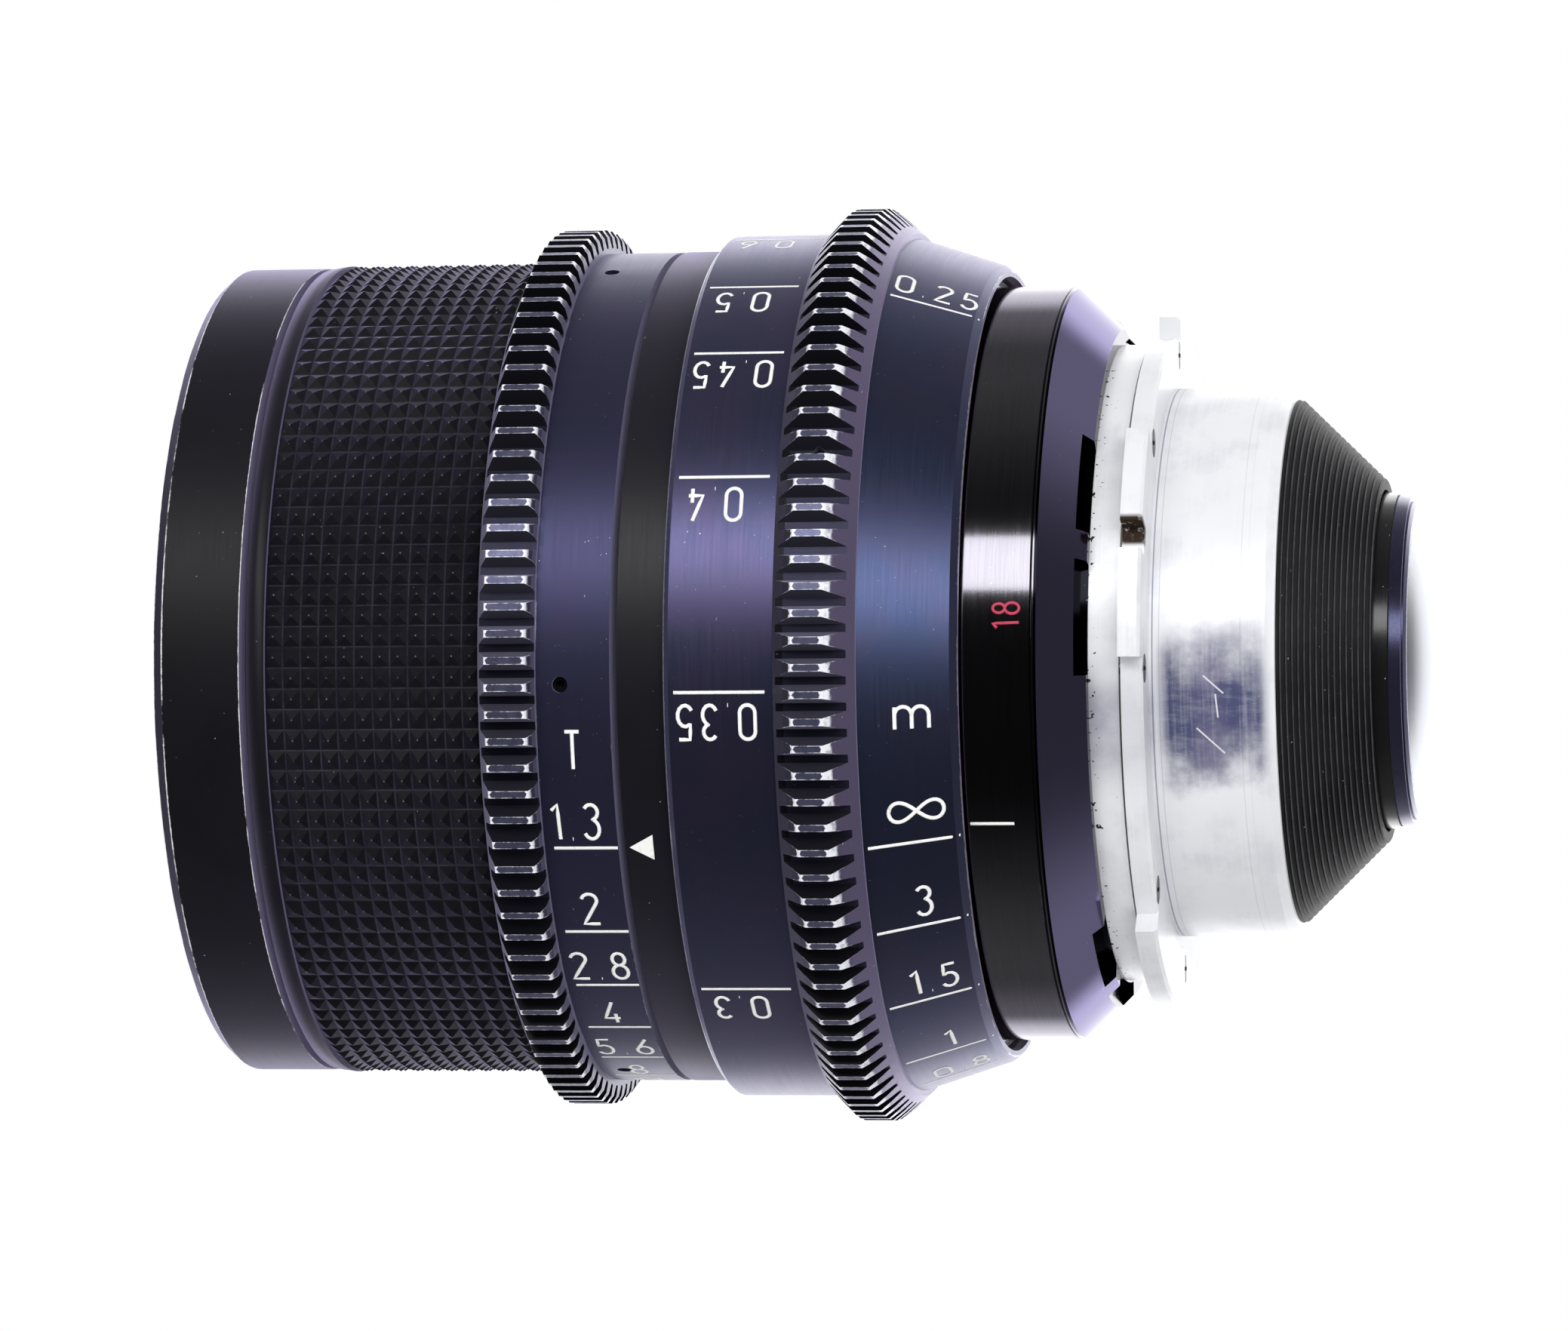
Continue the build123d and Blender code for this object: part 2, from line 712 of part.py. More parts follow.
# Shares of the space between the filter thread's end and the iris retainer
front_place_shares = (0.119, 0.1982, 0.422, 0.5183, 0.7117, 0.74, 0.859, 0.9014)
front_space = iris_retainer_rear - iris_retainer_length - filter_rear
front_places = [filter_rear + front_space * share for share in front_place_shares]
(cell_front, front_glass_front, front_glass_rear, second_glass_front, second_glass_rear,
 third_glass_front, third_glass_rear, cell_rear) = front_places

with BuildPart() as front_baffle:
    turned(
        (filter_rear, front_bore), (filter_rear, front_bore - front_baffle_wall),
        (cell_front, front_bore - front_baffle_reach), (cell_front, front_bore),
    )
save(front_baffle, "front_baffle")

# Optical block: front group

front_glass_radius = front_bore - front_cell_wall
front_glass_face = front_glass_radius - front_retainer_reach
front_glass_hollow = front_glass_radius - front_glass_flat
second_glass_radius = front_glass_radius - second_glass_drop
second_glass_face = second_glass_radius - second_glass_front_flat
second_glass_hollow = second_glass_radius - second_glass_rear_flat
third_glass_radius = second_glass_radius - third_glass_drop

with BuildPart() as front_cell:
    turned(
        (cell_front, front_bore), (cell_front, front_glass_radius), (front_glass_rear, front_glass_radius),
        (front_glass_rear, second_glass_radius), (second_glass_rear, second_glass_radius),
        (second_glass_rear, third_glass_radius), (third_glass_rear, third_glass_radius),
        (third_glass_rear, third_glass_radius - third_lip), (cell_rear, third_glass_radius - third_lip),
        (cell_rear, front_bore),
    )
save(front_cell, "front_cell")

with BuildPart() as front_retainer:
    ring(cell_front, front_glass_front, front_glass_face, front_glass_radius)
save(front_retainer, "front_retainer")

with BuildPart() as front_element:
    glass((front_glass_front, dome(front_glass_front_curve_share, front_glass_face), front_glass_face),
          (front_glass_rear, dome(front_glass_rear_curve_share, front_glass_hollow), front_glass_hollow),
          front_glass_radius)
save(front_element, "front_element")

with BuildPart() as front_spacer:
    ring(front_glass_rear, second_glass_front, second_glass_radius - front_spacer_wall, second_glass_radius)
save(front_spacer, "front_spacer")

with BuildPart() as second_element:
    glass((second_glass_front, dome(second_glass_front_curve_share, second_glass_face), second_glass_face),
          (second_glass_rear, dome(second_glass_rear_curve_share, second_glass_hollow),
           second_glass_hollow), second_glass_radius)
save(second_element, "second_element")

with BuildPart() as middle_spacer:
    ring(second_glass_rear, third_glass_front, third_glass_radius - middle_spacer_wall, third_glass_radius)
save(middle_spacer, "middle_spacer")

third_clear = third_glass_radius - third_lip
with BuildPart() as third_element:
    glass((third_glass_front, dome(third_glass_front_curve_share, third_clear), third_clear),
          (third_glass_rear, -dome(third_glass_rear_curve_share, third_clear), third_clear),
          third_glass_radius)
save(third_element, "third_element")

# Iris

with BuildPart() as iris_retainer:
    ring(iris_retainer_rear - iris_retainer_length, iris_retainer_rear,
         front_bore - iris_retainer_wall, front_bore)
save(iris_retainer, "iris_retainer")


# Place of a blade's drive pin when the blade has turned, as radius and angle across the axis
def cam_pin_place(turn):
    out = cam_pin_circle * cos(radians(cam_pin_angle)) - pivot_radius
    up = cam_pin_circle * sin(radians(cam_pin_angle))
    turned_out = out * cos(radians(turn)) - up * sin(radians(turn)) + pivot_radius
    turned_up = out * sin(radians(turn)) + up * cos(radians(turn))
    return hypot(turned_out, turned_up), degrees(atan2(turned_up, turned_out))


cam_ring_radius = front_bore - running_clearance
with BuildPart() as iris_cam_ring:
    ring(cam_front, cam_rear, aperture_radius + plate_margin, cam_ring_radius)
    ring(cam_rim_front, cam_front, cam_ring_radius - cam_rim_wall, cam_ring_radius)
    for blade in range(blade_count):
        base_angle = blade * 360 / blade_count
        path = []
        for step in range(cam_slot_steps + 1):
            turn = blade_turn * step / cam_slot_steps
            pin_radius, pin_angle = cam_pin_place(turn)
            path.append(across(pin_radius, base_angle + pin_angle - iris_turn * step / cam_slot_steps))
        with BuildSketch(Plane.YZ.offset(cam_front)) as slot:
            with BuildLine() as slot_path:
                Spline(*path)
            trace(slot_path.line, line_width=2 * (cam_pin_radius + cam_slot_clearance))
            with Locations(path[0], path[-1]):
                Circle(cam_pin_radius + cam_slot_clearance)
        extrude(slot.sketch, amount=cam_thickness, mode=Mode.SUBTRACT)
    radial_pin(drive_pin_x, drive_pin_angle, cam_ring_radius - cam_rim_wall - overrun,
               cam_ring_radius + overrun, drive_pin_radius, mode=Mode.SUBTRACT)
save(iris_cam_ring, "iris_cam_ring")

with BuildPart() as iris_base_plate:
    ring(base_front, base_rear, aperture_radius + plate_margin, front_bore)
    with BuildSketch(Plane.YZ.offset(base_front)) as holes:
        with PolarLocations(pivot_radius, blade_count, start_angle=180):
            Circle(blade_pin_radius + running_clearance)
    extrude(holes.sketch, amount=base_thickness, mode=Mode.SUBTRACT)
save(iris_base_plate, "iris_base_plate")

for blade in range(blade_count):
    base_angle = blade * 360 / blade_count
    blade_front = cam_rear + axial_clearance + blade * blade_pitch
    blade_rear = blade_front + blade_thickness
    with BuildPart() as iris_blade:
        sector(blade_front, blade_rear, aperture_radius, blade_outer,
               base_angle - blade_heel_angle, base_angle + blade_angle)
        pivot = across(pivot_radius, base_angle)
        cam_pin = across(cam_pin_circle, base_angle + cam_pin_angle)
        with BuildSketch(Plane.YZ.offset(blade_front)) as ear:
            with BuildLine():
                Polyline(
                    across(blade_outer - blade_ear_radius, base_angle - blade_heel_angle),
                    across(pivot_radius + blade_ear_radius, base_angle - blade_heel_angle / 2),
                    across(cam_pin_circle + blade_ear_radius, base_angle + cam_pin_angle),
                    across(blade_outer - blade_ear_radius, base_angle + cam_pin_angle + blade_heel_angle),
                    close=True,
                )
            make_face()
            with Locations(pivot, cam_pin):
                Circle(blade_ear_radius)
        extrude(ear.sketch, amount=blade_thickness)
        with BuildSketch(Plane.YZ.offset(blade_rear)) as pivot_pin:
            with Locations(pivot):
                Circle(blade_pin_radius)
        extrude(pivot_pin.sketch, amount=base_rear - blade_rear)
        with BuildSketch(Plane.YZ.offset(cam_front)) as drive_pin:
            with Locations(cam_pin):
                Circle(cam_pin_radius)
        extrude(drive_pin.sketch, amount=blade_front - cam_front)
    save(iris_blade, f"iris_blade_{blade + 1}")

# Iris ring

knurl_root = grip_radius - knurl_depth
knurl_front = iris_front + grip_band_length
knurl_pitch = (grip_rear - knurl_front) / knurl_rows
knurl_outline = []
for row in reversed(range(knurl_rows)):
    row_front = knurl_front + row * knurl_pitch
    knurl_outline += [
        (row_front + knurl_pitch, grip_radius), (row_front + knurl_gap, grip_radius),
        (row_front + knurl_gap, knurl_root), (row_front, knurl_root),
    ]
with BuildPart() as iris_grip:
    turned(
        (iris_front, iris_bore), (iris_front + grip_bearing_length, iris_bore),
        (iris_front + grip_bearing_length, iris_bore + grip_relief),
        (grip_rear, iris_bore + grip_relief), (grip_rear, iris_bore),
        (iris_rear - iris_web_length, iris_bore), (iris_rear - iris_web_length, iris_tube_radius),
        (grip_rear, iris_tube_radius), *knurl_outline, (knurl_front, grip_radius),
        (iris_front, grip_radius - grip_band_drop),
    )
    tooth_grooves(knurl_front, grip_rear, knurl_root, grip_radius, knurl_ribs, knurl_groove_angle,
                  knurl_land, knurl_floor)
    radial_pin(drive_pin_x, drive_pin_angle, iris_bore - overrun, iris_tube_radius + overrun,
               drive_pin_radius, mode=Mode.SUBTRACT)
    set_screw_x = iris_gear_rear + set_screw_inset
    for screw in range(set_screw_count):
        radial_pin(set_screw_x, set_screw_angle + screw * 360 / set_screw_count,
                   iris_scale_radius - set_screw_sink - set_screw_length, iris_scale_radius,
                   set_screw_radius, mode=Mode.SUBTRACT)
save(iris_grip, "iris_grip")

# Shares of the gear's length and of its tooth depth along the bevelled blank
iris_gear_profile_shares = ((0, -0.3), (0.2, 1), (0.88, 1), (0.97, 0.6), (1, 0.1))
with BuildPart() as iris_gear:
    turned(
        (grip_rear, iris_tube_radius),
        *((grip_rear + iris_gear_length * along, iris_gear_root + tooth_depth * high)
          for along, high in iris_gear_profile_shares),
        (iris_gear_rear, iris_tube_radius),
    )
    tooth_grooves(grip_rear, iris_gear_rear, iris_gear_root, iris_gear_tip,
                  iris_gear_teeth, iris_groove_angle, tooth_land, groove_floor)
save(iris_gear, "iris_gear")

with BuildPart() as iris_scale_ring:
    turned(
        (iris_gear_rear, iris_tube_radius), (iris_rear - iris_web_length, iris_tube_radius),
        (iris_rear - iris_web_length, iris_bore), (iris_rear, iris_bore),
        (iris_rear, iris_scale_radius), (iris_gear_rear, iris_scale_radius),
    )
    for screw in range(set_screw_count):
        radial_pin(set_screw_x, set_screw_angle + screw * 360 / set_screw_count,
                   iris_tube_radius - overrun, iris_scale_radius + overrun, set_screw_radius,
                   mode=Mode.SUBTRACT)
save(iris_scale_ring, "iris_scale_ring")

with BuildPart() as iris_set_screws:
    for screw in range(set_screw_count):
        angle = set_screw_angle + screw * 360 / set_screw_count
        radial_pin(set_screw_x, angle, iris_scale_radius - set_screw_sink - set_screw_length,
                   iris_scale_radius - set_screw_sink, set_screw_radius)
        radial_pin(set_screw_x, angle, iris_scale_radius - set_screw_sink - hex_depth, iris_scale_radius,
                   hex_radius, mode=Mode.SUBTRACT)
save(iris_set_screws, "iris_set_screws")

with BuildPart() as iris_drive_pin:
    radial_pin(drive_pin_x, drive_pin_angle, cam_ring_radius - cam_rim_wall, iris_tube_radius,
               drive_pin_radius)
save(iris_drive_pin, "iris_drive_pin")

# Optical block: rear group

neck_front = rear_taper_rear
wide_radius = rear_tube_radius - rear_glass_wall
narrow_radius = wide_radius - sixth_glass_drop
# Shares of the space between the iris base plate and the taper
rear_place_shares = (0.0572, 0.142, 0.2406, 0.3688, 0.5661, 0.6154, 0.7732, 0.8521)
rear_space = rear_taper_front - base_rear
rear_places = [base_rear + rear_space * share for share in rear_place_shares]
(group_retainer_front, fourth_front, fourth_rear, fifth_front, fifth_cement, fifth_rear,
 sixth_front, sixth_rear) = rear_places
rear_glass_rear = neck_end + rear_glass_stand
rear_glass_front = rear_glass_rear - rear_glass_edge
sixth_bore = narrow_radius - sixth_lip
rear_seat_radius = rear_glass_radius - rear_seat_lip

with BuildPart() as rear_group_barrel:
    turned(
        (base_rear, front_bore), (rear_flange_rear, front_bore), (rear_flange_rear, rear_tube_radius),
        (rear_taper_front, rear_tube_radius), (neck_front, neck_radius), (neck_end, neck_radius),
        (neck_end, rear_glass_radius), (rear_glass_front, rear_glass_radius),
        (rear_glass_front, rear_seat_radius), (rear_taper_front, rear_seat_radius),
        (rear_taper_front, sixth_bore), (sixth_rear, sixth_bore), (sixth_rear, narrow_radius),
        (fifth_rear, narrow_radius), (fifth_rear, wide_radius), (base_rear, wide_radius),
    )
save(rear_group_barrel, "rear_group_barrel")

fourth_clear = wide_radius - group_retainer_wall
with BuildPart() as rear_group_retainer:
    ring(group_retainer_front, fourth_front, fourth_clear, wide_radius)
save(rear_group_retainer, "rear_group_retainer")

with BuildPart() as fourth_element:
    glass((fourth_front, dome(fourth_glass_front_curve_share, fourth_clear), fourth_clear),
          (fourth_rear, -dome(fourth_glass_rear_curve_share, fourth_clear), fourth_clear), wide_radius)
save(fourth_element, "fourth_element")

with BuildPart() as rear_spacer:
    ring(fourth_rear, fifth_front, wide_radius - rear_spacer_wall, wide_radius)
save(rear_spacer, "rear_spacer")

fifth_clear = wide_radius - fifth_clear_gap
fifth_cement_depth = dome(fifth_cement_curve_share, fifth_clear)
with BuildPart() as fifth_element_front:
    glass((fifth_front, -dome(fifth_front_curve_share, fourth_clear), fourth_clear),
          (fifth_cement, fifth_cement_depth, fifth_clear), wide_radius)
save(fifth_element_front, "fifth_element_front")

with BuildPart() as fifth_element_rear:
    glass((fifth_cement, fifth_cement_depth, fifth_clear),
          (fifth_rear, -dome(fifth_rear_curve_share, sixth_bore), sixth_bore), wide_radius)
save(fifth_element_rear, "fifth_element_rear")

with BuildPart() as second_rear_spacer:
    ring(fifth_rear, sixth_front, narrow_radius - second_spacer_wall, narrow_radius)
save(second_rear_spacer, "second_rear_spacer")

with BuildPart() as sixth_element:
    glass((sixth_front, dome(sixth_glass_curve_share, sixth_bore), sixth_bore),
          (sixth_rear, -dome(sixth_glass_curve_share, sixth_bore), sixth_bore), narrow_radius)
save(sixth_element, "sixth_element")

with BuildPart() as rear_element:
    glass((rear_glass_front, dome(rear_glass_front_curve_share, rear_seat_radius), rear_seat_radius),
          (rear_glass_rear, -dome(rear_glass_rear_curve_share, rear_glass_radius), rear_glass_radius),
          rear_glass_radius)
save(rear_element, "rear_element")

band_front = neck_end + rear_ring_front_gap
band_radius = neck_radius - rear_ring_band_drop
groove_rear = band_front + rear_ring_band_length + rear_ring_groove_length
rim_rear = neck_end + rear_glass_stand
with BuildPart() as rear_retainer:
    turned(
        (neck_end, rear_glass_radius), (neck_end, band_radius - rear_ring_front_gap),
        (band_front, band_radius), (band_front + rear_ring_band_length, band_radius - rear_ring_band_drop),
        (band_front + rear_ring_band_length, band_radius - rear_ring_groove_drop),
        (groove_rear, band_radius - rear_ring_groove_drop),
        (rim_rear, neck_radius - rear_ring_rim_drop), (rim_rear, rear_glass_radius),
    )
save(rear_retainer, "rear_retainer")

rear_apex = rear_glass_rear + dome(rear_glass_rear_curve_share, rear_glass_radius)
print("overall", round(front_face, 2), "to", round(rear_apex, 2))
print("filter thread radius", round(filter_radius, 2), "front ring radius", round(front_ring_radius, 2))
print("throat pitch circle", round(mount_screw_circle, 2), "iris blades at", round(cam_rear, 2))
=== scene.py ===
# Cinema prime lens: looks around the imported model. The lens axis runs along X. The camera, the floor, the
# lamps and the bumps are in metres, and all other sizes are in millimetres.
import math

import bpy
from mathutils import Matrix, Quaternion, Vector


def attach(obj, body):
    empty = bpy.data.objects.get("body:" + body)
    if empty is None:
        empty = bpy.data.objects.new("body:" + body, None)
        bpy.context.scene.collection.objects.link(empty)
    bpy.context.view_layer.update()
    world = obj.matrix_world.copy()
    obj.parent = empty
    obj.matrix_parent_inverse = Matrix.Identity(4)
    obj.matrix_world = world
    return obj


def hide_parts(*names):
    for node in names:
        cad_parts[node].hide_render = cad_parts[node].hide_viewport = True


mm = 0.001
mergeDistance = 0.0005 * mm
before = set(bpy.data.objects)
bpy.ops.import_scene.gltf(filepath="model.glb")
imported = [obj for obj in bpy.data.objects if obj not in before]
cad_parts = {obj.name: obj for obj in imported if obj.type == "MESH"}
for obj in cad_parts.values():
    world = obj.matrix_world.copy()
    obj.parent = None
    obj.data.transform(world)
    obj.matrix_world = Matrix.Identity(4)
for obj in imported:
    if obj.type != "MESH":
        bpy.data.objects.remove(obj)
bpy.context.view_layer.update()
print("stage 1: frame loaded,", len(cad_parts), "nodes")

bpy.context.scene.view_settings.view_transform = "Standard"


# Camera, fitted to the photograph
photoCamera = {"place": (0.08523, -0.71055, 0.0), "turnLeft": 9.99, "roll": 0.0080, "lens": 166.3,
               "sensor": 36.0, "nearest": 0.01}


def addCamera(setup):
    turn = math.radians(setup["turnLeft"])
    forward = Vector((-math.sin(turn), math.cos(turn), 0))
    level = Vector((math.cos(turn), math.sin(turn), 0))
    upright = Vector((0, 0, 1))
    right = level * math.cos(setup["roll"]) - upright * math.sin(setup["roll"])
    up = upright * math.cos(setup["roll"]) + level * math.sin(setup["roll"])
    bpy.ops.object.camera_add()
    camera = bpy.context.object
    axes = Matrix((right, up, -forward)).transposed().to_4x4()
    camera.matrix_world = Matrix.Translation(setup["place"]) @ axes
    camera.data.sensor_width = setup["sensor"]
    camera.data.lens = setup["lens"]
    camera.data.clip_start = setup["nearest"]
    bpy.context.scene.camera = camera


addCamera(photoCamera)


# Node helpers for materials
def emptyMaterial(name):
    material = bpy.data.materials.new(name)
    material.use_nodes = True
    tree = material.node_tree
    tree.nodes.clear()
    return material, tree, tree.nodes.new("ShaderNodeOutputMaterial")


def newMaterial(name):
    material, tree, output = emptyMaterial(name)
    shader = tree.nodes.new("ShaderNodeBsdfPrincipled")
    tree.links.new(shader.outputs[0], output.inputs["Surface"])
    return material, tree, shader


def feed(tree, socket, value):
    if isinstance(value, bpy.types.NodeSocket):
        tree.links.new(value, socket)
    elif value is not None:
        socket.default_value = value


def calc(tree, operation, first, second=None):
    node = tree.nodes.new("ShaderNodeMath")
    node.operation = operation
    feed(tree, node.inputs[0], first)
    feed(tree, node.inputs[1], second)
    return node.outputs[0]


def calcAll(tree, operation, values):
    result = values[0]
    for value in values[1:]:
        result = calc(tree, operation, result, value)
    return result


def times(tree, *values):
    return calcAll(tree, "MULTIPLY", values)


def plus(tree, *values):
    return calcAll(tree, "ADD", values)


def largest(tree, *values):
    return calcAll(tree, "MAXIMUM", values)


def minus(tree, first, second):
    return calc(tree, "SUBTRACT", first, second)


def awayFrom(tree, value, middle):
    return calc(tree, "ABSOLUTE", minus(tree, value, middle))


# Place within a pattern that repeats at a pitch, from 0 to 1
def withinPitch(tree, value, start, pitch):
    return calc(tree, "FRACT", calc(tree, "DIVIDE", minus(tree, value, start), pitch))


# Soft step from newLow to newHigh as the value goes from low to high. Low may be the greater one.
def between(tree, value, low, high, newLow=0.0, newHigh=1.0):
    node = tree.nodes.new("ShaderNodeMapRange")
    node.interpolation_type = "SMOOTHSTEP"
    feed(tree, node.inputs["Value"], value)
    for name, number in (("From Min", low), ("From Max", high), ("To Min", newLow), ("To Max", newHigh)):
        feed(tree, node.inputs[name], number)
    return node.outputs[0]


def mixColour(tree, share, first, second):
    node = tree.nodes.new("ShaderNodeMix")
    node.data_type = "RGBA"
    feed(tree, node.inputs["Factor"], share)
    feed(tree, node.inputs[6], first)
    feed(tree, node.inputs[7], second)
    return node.outputs[2]


def mixShaders(tree, share, first, second):
    node = tree.nodes.new("ShaderNodeMixShader")
    tree.links.new(share, node.inputs[0])
    tree.links.new(first.outputs[0], node.inputs[1])
    tree.links.new(second.outputs[0], node.inputs[2])
    return node


def combine(tree, x, y, z):
    node = tree.nodes.new("ShaderNodeCombineXYZ")
    feed(tree, node.inputs[0], x)
    feed(tree, node.inputs[1], y)
    feed(tree, node.inputs[2], z)
    return node.outputs[0]


def noise(tree, vector, scale, detail=3.0, roughness=0.55, seed=0.0):
    node = tree.nodes.new("ShaderNodeTexNoise")
    node.noise_dimensions = "4D"
    feed(tree, node.inputs["Vector"], vector)
    node.inputs["W"].default_value = seed
    node.inputs["Scale"].default_value = scale
    node.inputs["Detail"].default_value = detail
    node.inputs["Roughness"].default_value = roughness
    return node.outputs[0]


# Place on the lens in millimetres: along the axis, radius, and angle from -Y upwards in radians.
# The normal is given along the axis and outwards.
def lensPlace(tree):
    source = tree.nodes.new("ShaderNodeTexCoord")
    scale = tree.nodes.new("ShaderNodeVectorMath")
    scale.operation = "SCALE"
    tree.links.new(source.outputs["Object"], scale.inputs[0])
    scale.inputs["Scale"].default_value = 1 / mm
    split = tree.nodes.new("ShaderNodeSeparateXYZ")
    tree.links.new(scale.outputs[0], split.inputs[0])
    x, y, z = split.outputs
    radius = calc(tree, "SQRT", plus(tree, times(tree, y, y), times(tree, z, z)))
    angle = calc(tree, "ARCTAN2", z, times(tree, y, -1.0))
    facing = tree.nodes.new("ShaderNodeSeparateXYZ")
    tree.links.new(source.outputs["Normal"], facing.inputs[0])
    normalX, normalY, normalZ = facing.outputs
    outward = calc(tree, "DIVIDE", plus(tree, times(tree, y, normalY), times(tree, z, normalZ)), radius)
    return {"point": scale.outputs[0], "x": x, "radius": radius, "angle": angle, "normalX": normalX,
            "outward": outward}


# Fine lines left by the lathe, running round the axis
def latheLines(tree, place, perMillimetre, perRadian=5.0):
    vector = combine(tree, times(tree, place["x"], perMillimetre), times(tree, place["angle"], perRadian),
                     times(tree, place["radius"], perMillimetre))
    return noise(tree, vector, 1.0, detail=4.0, roughness=0.7)


# Bright line along a turned edge at (x, radius), of uneven width and broken up by noise
def wornEdges(tree, place, edges, width, broken):
    rough = noise(tree, place["point"], 2.2, detail=4.0, roughness=0.8, seed=4.0)
    shake = times(tree, minus(tree, rough, 0.5), width * 3.0)
    lines = []
    for edgeX, edgeRadius in edges:
        dx = minus(tree, place["x"], edgeX)
        dr = minus(tree, place["radius"], edgeRadius)
        distance = calc(tree, "SQRT", plus(tree, times(tree, dx, dx), times(tree, dr, dr)))
        lines.append(between(tree, plus(tree, distance, shake), width * 1.3, width * 0.5))
    patchy = noise(tree, place["point"], 0.16, detail=6.0, roughness=0.7, seed=5.0)
    return times(tree, largest(tree, *lines), between(tree, patchy, broken, broken + 0.1))


def addBump(tree, shader, height, distance):
    bump = tree.nodes.new("ShaderNodeBump")
    bump.inputs["Distance"].default_value = distance
    bump.inputs["Strength"].default_value = 1.0
    tree.links.new(height, bump.inputs["Height"])
    tree.links.new(bump.outputs[0], shader.inputs["Normal"])


# Anodised aluminium: cloudy dye, lathe lines, specks where it is chipped, and worn edges. The brass and
# steel pieces have it too, in their own colours and without the worn edges.
plainFinish = {
    "metallic": 0.0, "wornMetallic": 0.1, "specular": 0.3, "edgeTint": (1.0, 1.0, 1.0, 1),
    "roughness": 0.45, "roughSpread": 0.05, "wornPolish": 0.06,
    "sheen": 0.0, "sheenRoughness": 0.3, "sheenTint": (0.72, 0.68, 1.0, 1),
    "cloudScale": 0.12, "cloudFrom": 0.40, "cloudSpread": 0.2, "grainScale": 6.0, "grainShare": 0.35,
    "linesPerMillimetre": 9.0, "lineShare": 0.0, "speckLimit": 0.715, "speckShare": 0.6,
    "bareColour": (0.62, 0.62, 0.66, 1), "edges": None, "edgeWidth": 0.07, "broken": 0.42,
    "teeth": None, "knurl": None, "crests": None, "rearCone": None, "paintedBoreShade": None, "bump": 0.000003,
}


def anodised(name, finish):
    material, tree, shader = newMaterial(name)
    place = lensPlace(tree)
    cloud = noise(tree, place["point"], finish["cloudScale"], detail=4.0, seed=1.0)
    cloudy = between(tree, cloud, finish["cloudFrom"], finish["cloudFrom"] + finish["cloudSpread"])
    tint = mixColour(tree, cloudy, finish["colour"], finish["secondColour"])
    grain = noise(tree, place["point"], finish["grainScale"], detail=2.0, seed=2.0)
    grainy = between(tree, grain, 0.3, 0.75, 0.0, finish["grainShare"])
    tint = mixColour(tree, grainy, tint, finish["grainColour"])
    lines = latheLines(tree, place, finish["linesPerMillimetre"])
    if finish["lineShare"]:
        lined = between(tree, lines, 0.38, 0.62, 0.0, finish["lineShare"])
        tint = mixColour(tree, lined, tint, finish["lineColour"])
    if finish["rearCone"]:
        cone = finish["rearCone"]
        onCone = calc(tree, "GREATER_THAN", place["x"], cone["front"])
        tint = mixColour(tree, onCone, tint, cone["colour"])
        # Pockets in the rear cone, where the faces turn away from the cone, are painted near black as
        # painted shade
        offCone = between(tree, awayFrom(tree, place["outward"], cone["outward"]), *cone["offOutward"])
        tint = mixColour(tree, times(tree, onCone, offCone), tint, cone["pocketShadeColour"])
    specks = noise(tree, place["point"], 2.3, detail=2.0, roughness=0.9, seed=7.0)
    limit = finish["speckLimit"]
    wear = between(tree, specks, limit, limit + 0.02, 0.0, finish["speckShare"])
    if finish["edges"]:
        edgeWear = wornEdges(tree, place, finish["edges"], finish["edgeWidth"], finish["broken"])
        wear = largest(tree, wear, edgeWear)
    if finish["teeth"]:
        masks, bare = gearTeeth(tree, place, finish["teeth"])
        # Tooth colours: tips, the collar's painted highlight, the front's painted shade, and dirt and
        # painted shade in the flanks and grooves
        for part in ("land", "collar", "shade", "flank"):
            tint = mixColour(tree, masks[part], tint, finish["teeth"][part + "Colour"])
        wear = largest(tree, times(tree, wear, minus(tree, 1.0, masks["flank"])), bare)
    if finish["knurl"]:
        dust, bare = knurlWear(tree, place, finish["knurl"])
        tint = mixColour(tree, dust, tint, finish["knurl"]["dustColour"])
        wear = largest(tree, wear, bare)
    if finish["crests"]:
        tint = mixColour(tree, ribCrestHighlight(tree, place, finish["crests"]), tint, finish["crests"]["colour"])
    # Painted shade: faces turned inwards, in the bores, are painted near black and kept free of wear
    if finish["paintedBoreShade"]:
        inside = between(tree, place["outward"], -0.2, -0.6)
        tint = mixColour(tree, inside, tint, finish["paintedBoreShade"])
        wear = times(tree, wear, minus(tree, 1.0, inside))
    feed(tree, shader.inputs["Base Color"], mixColour(tree, wear, tint, finish["bareColour"]))
    smoothest = finish["roughness"] - finish["roughSpread"]
    rough = between(tree, lines, 0.2, 0.8, smoothest, finish["roughness"] + finish["roughSpread"])
    feed(tree, shader.inputs["Roughness"], minus(tree, rough, times(tree, wear, finish["wornPolish"])))
    if finish["teeth"]:
        metallic = between(tree, wear, 0.0, 1.0, finish["metallic"], finish["wornMetallic"])
        feed(tree, shader.inputs["Metallic"], metallic)
    else:
        shader.inputs["Metallic"].default_value = finish["metallic"]
    shader.inputs["Specular IOR Level"].default_value = finish["specular"]
    shader.inputs["Specular Tint"].default_value = finish["edgeTint"]
    shader.inputs["Sheen Weight"].default_value = finish["sheen"]
    shader.inputs["Sheen Roughness"].default_value = finish["sheenRoughness"]
    shader.inputs["Sheen Tint"].default_value = finish["sheenTint"]
    height = plus(tree, times(tree, lines, 0.5), times(tree, grain, 0.5))
    addBump(tree, shader, height, finish["bump"])
    return material
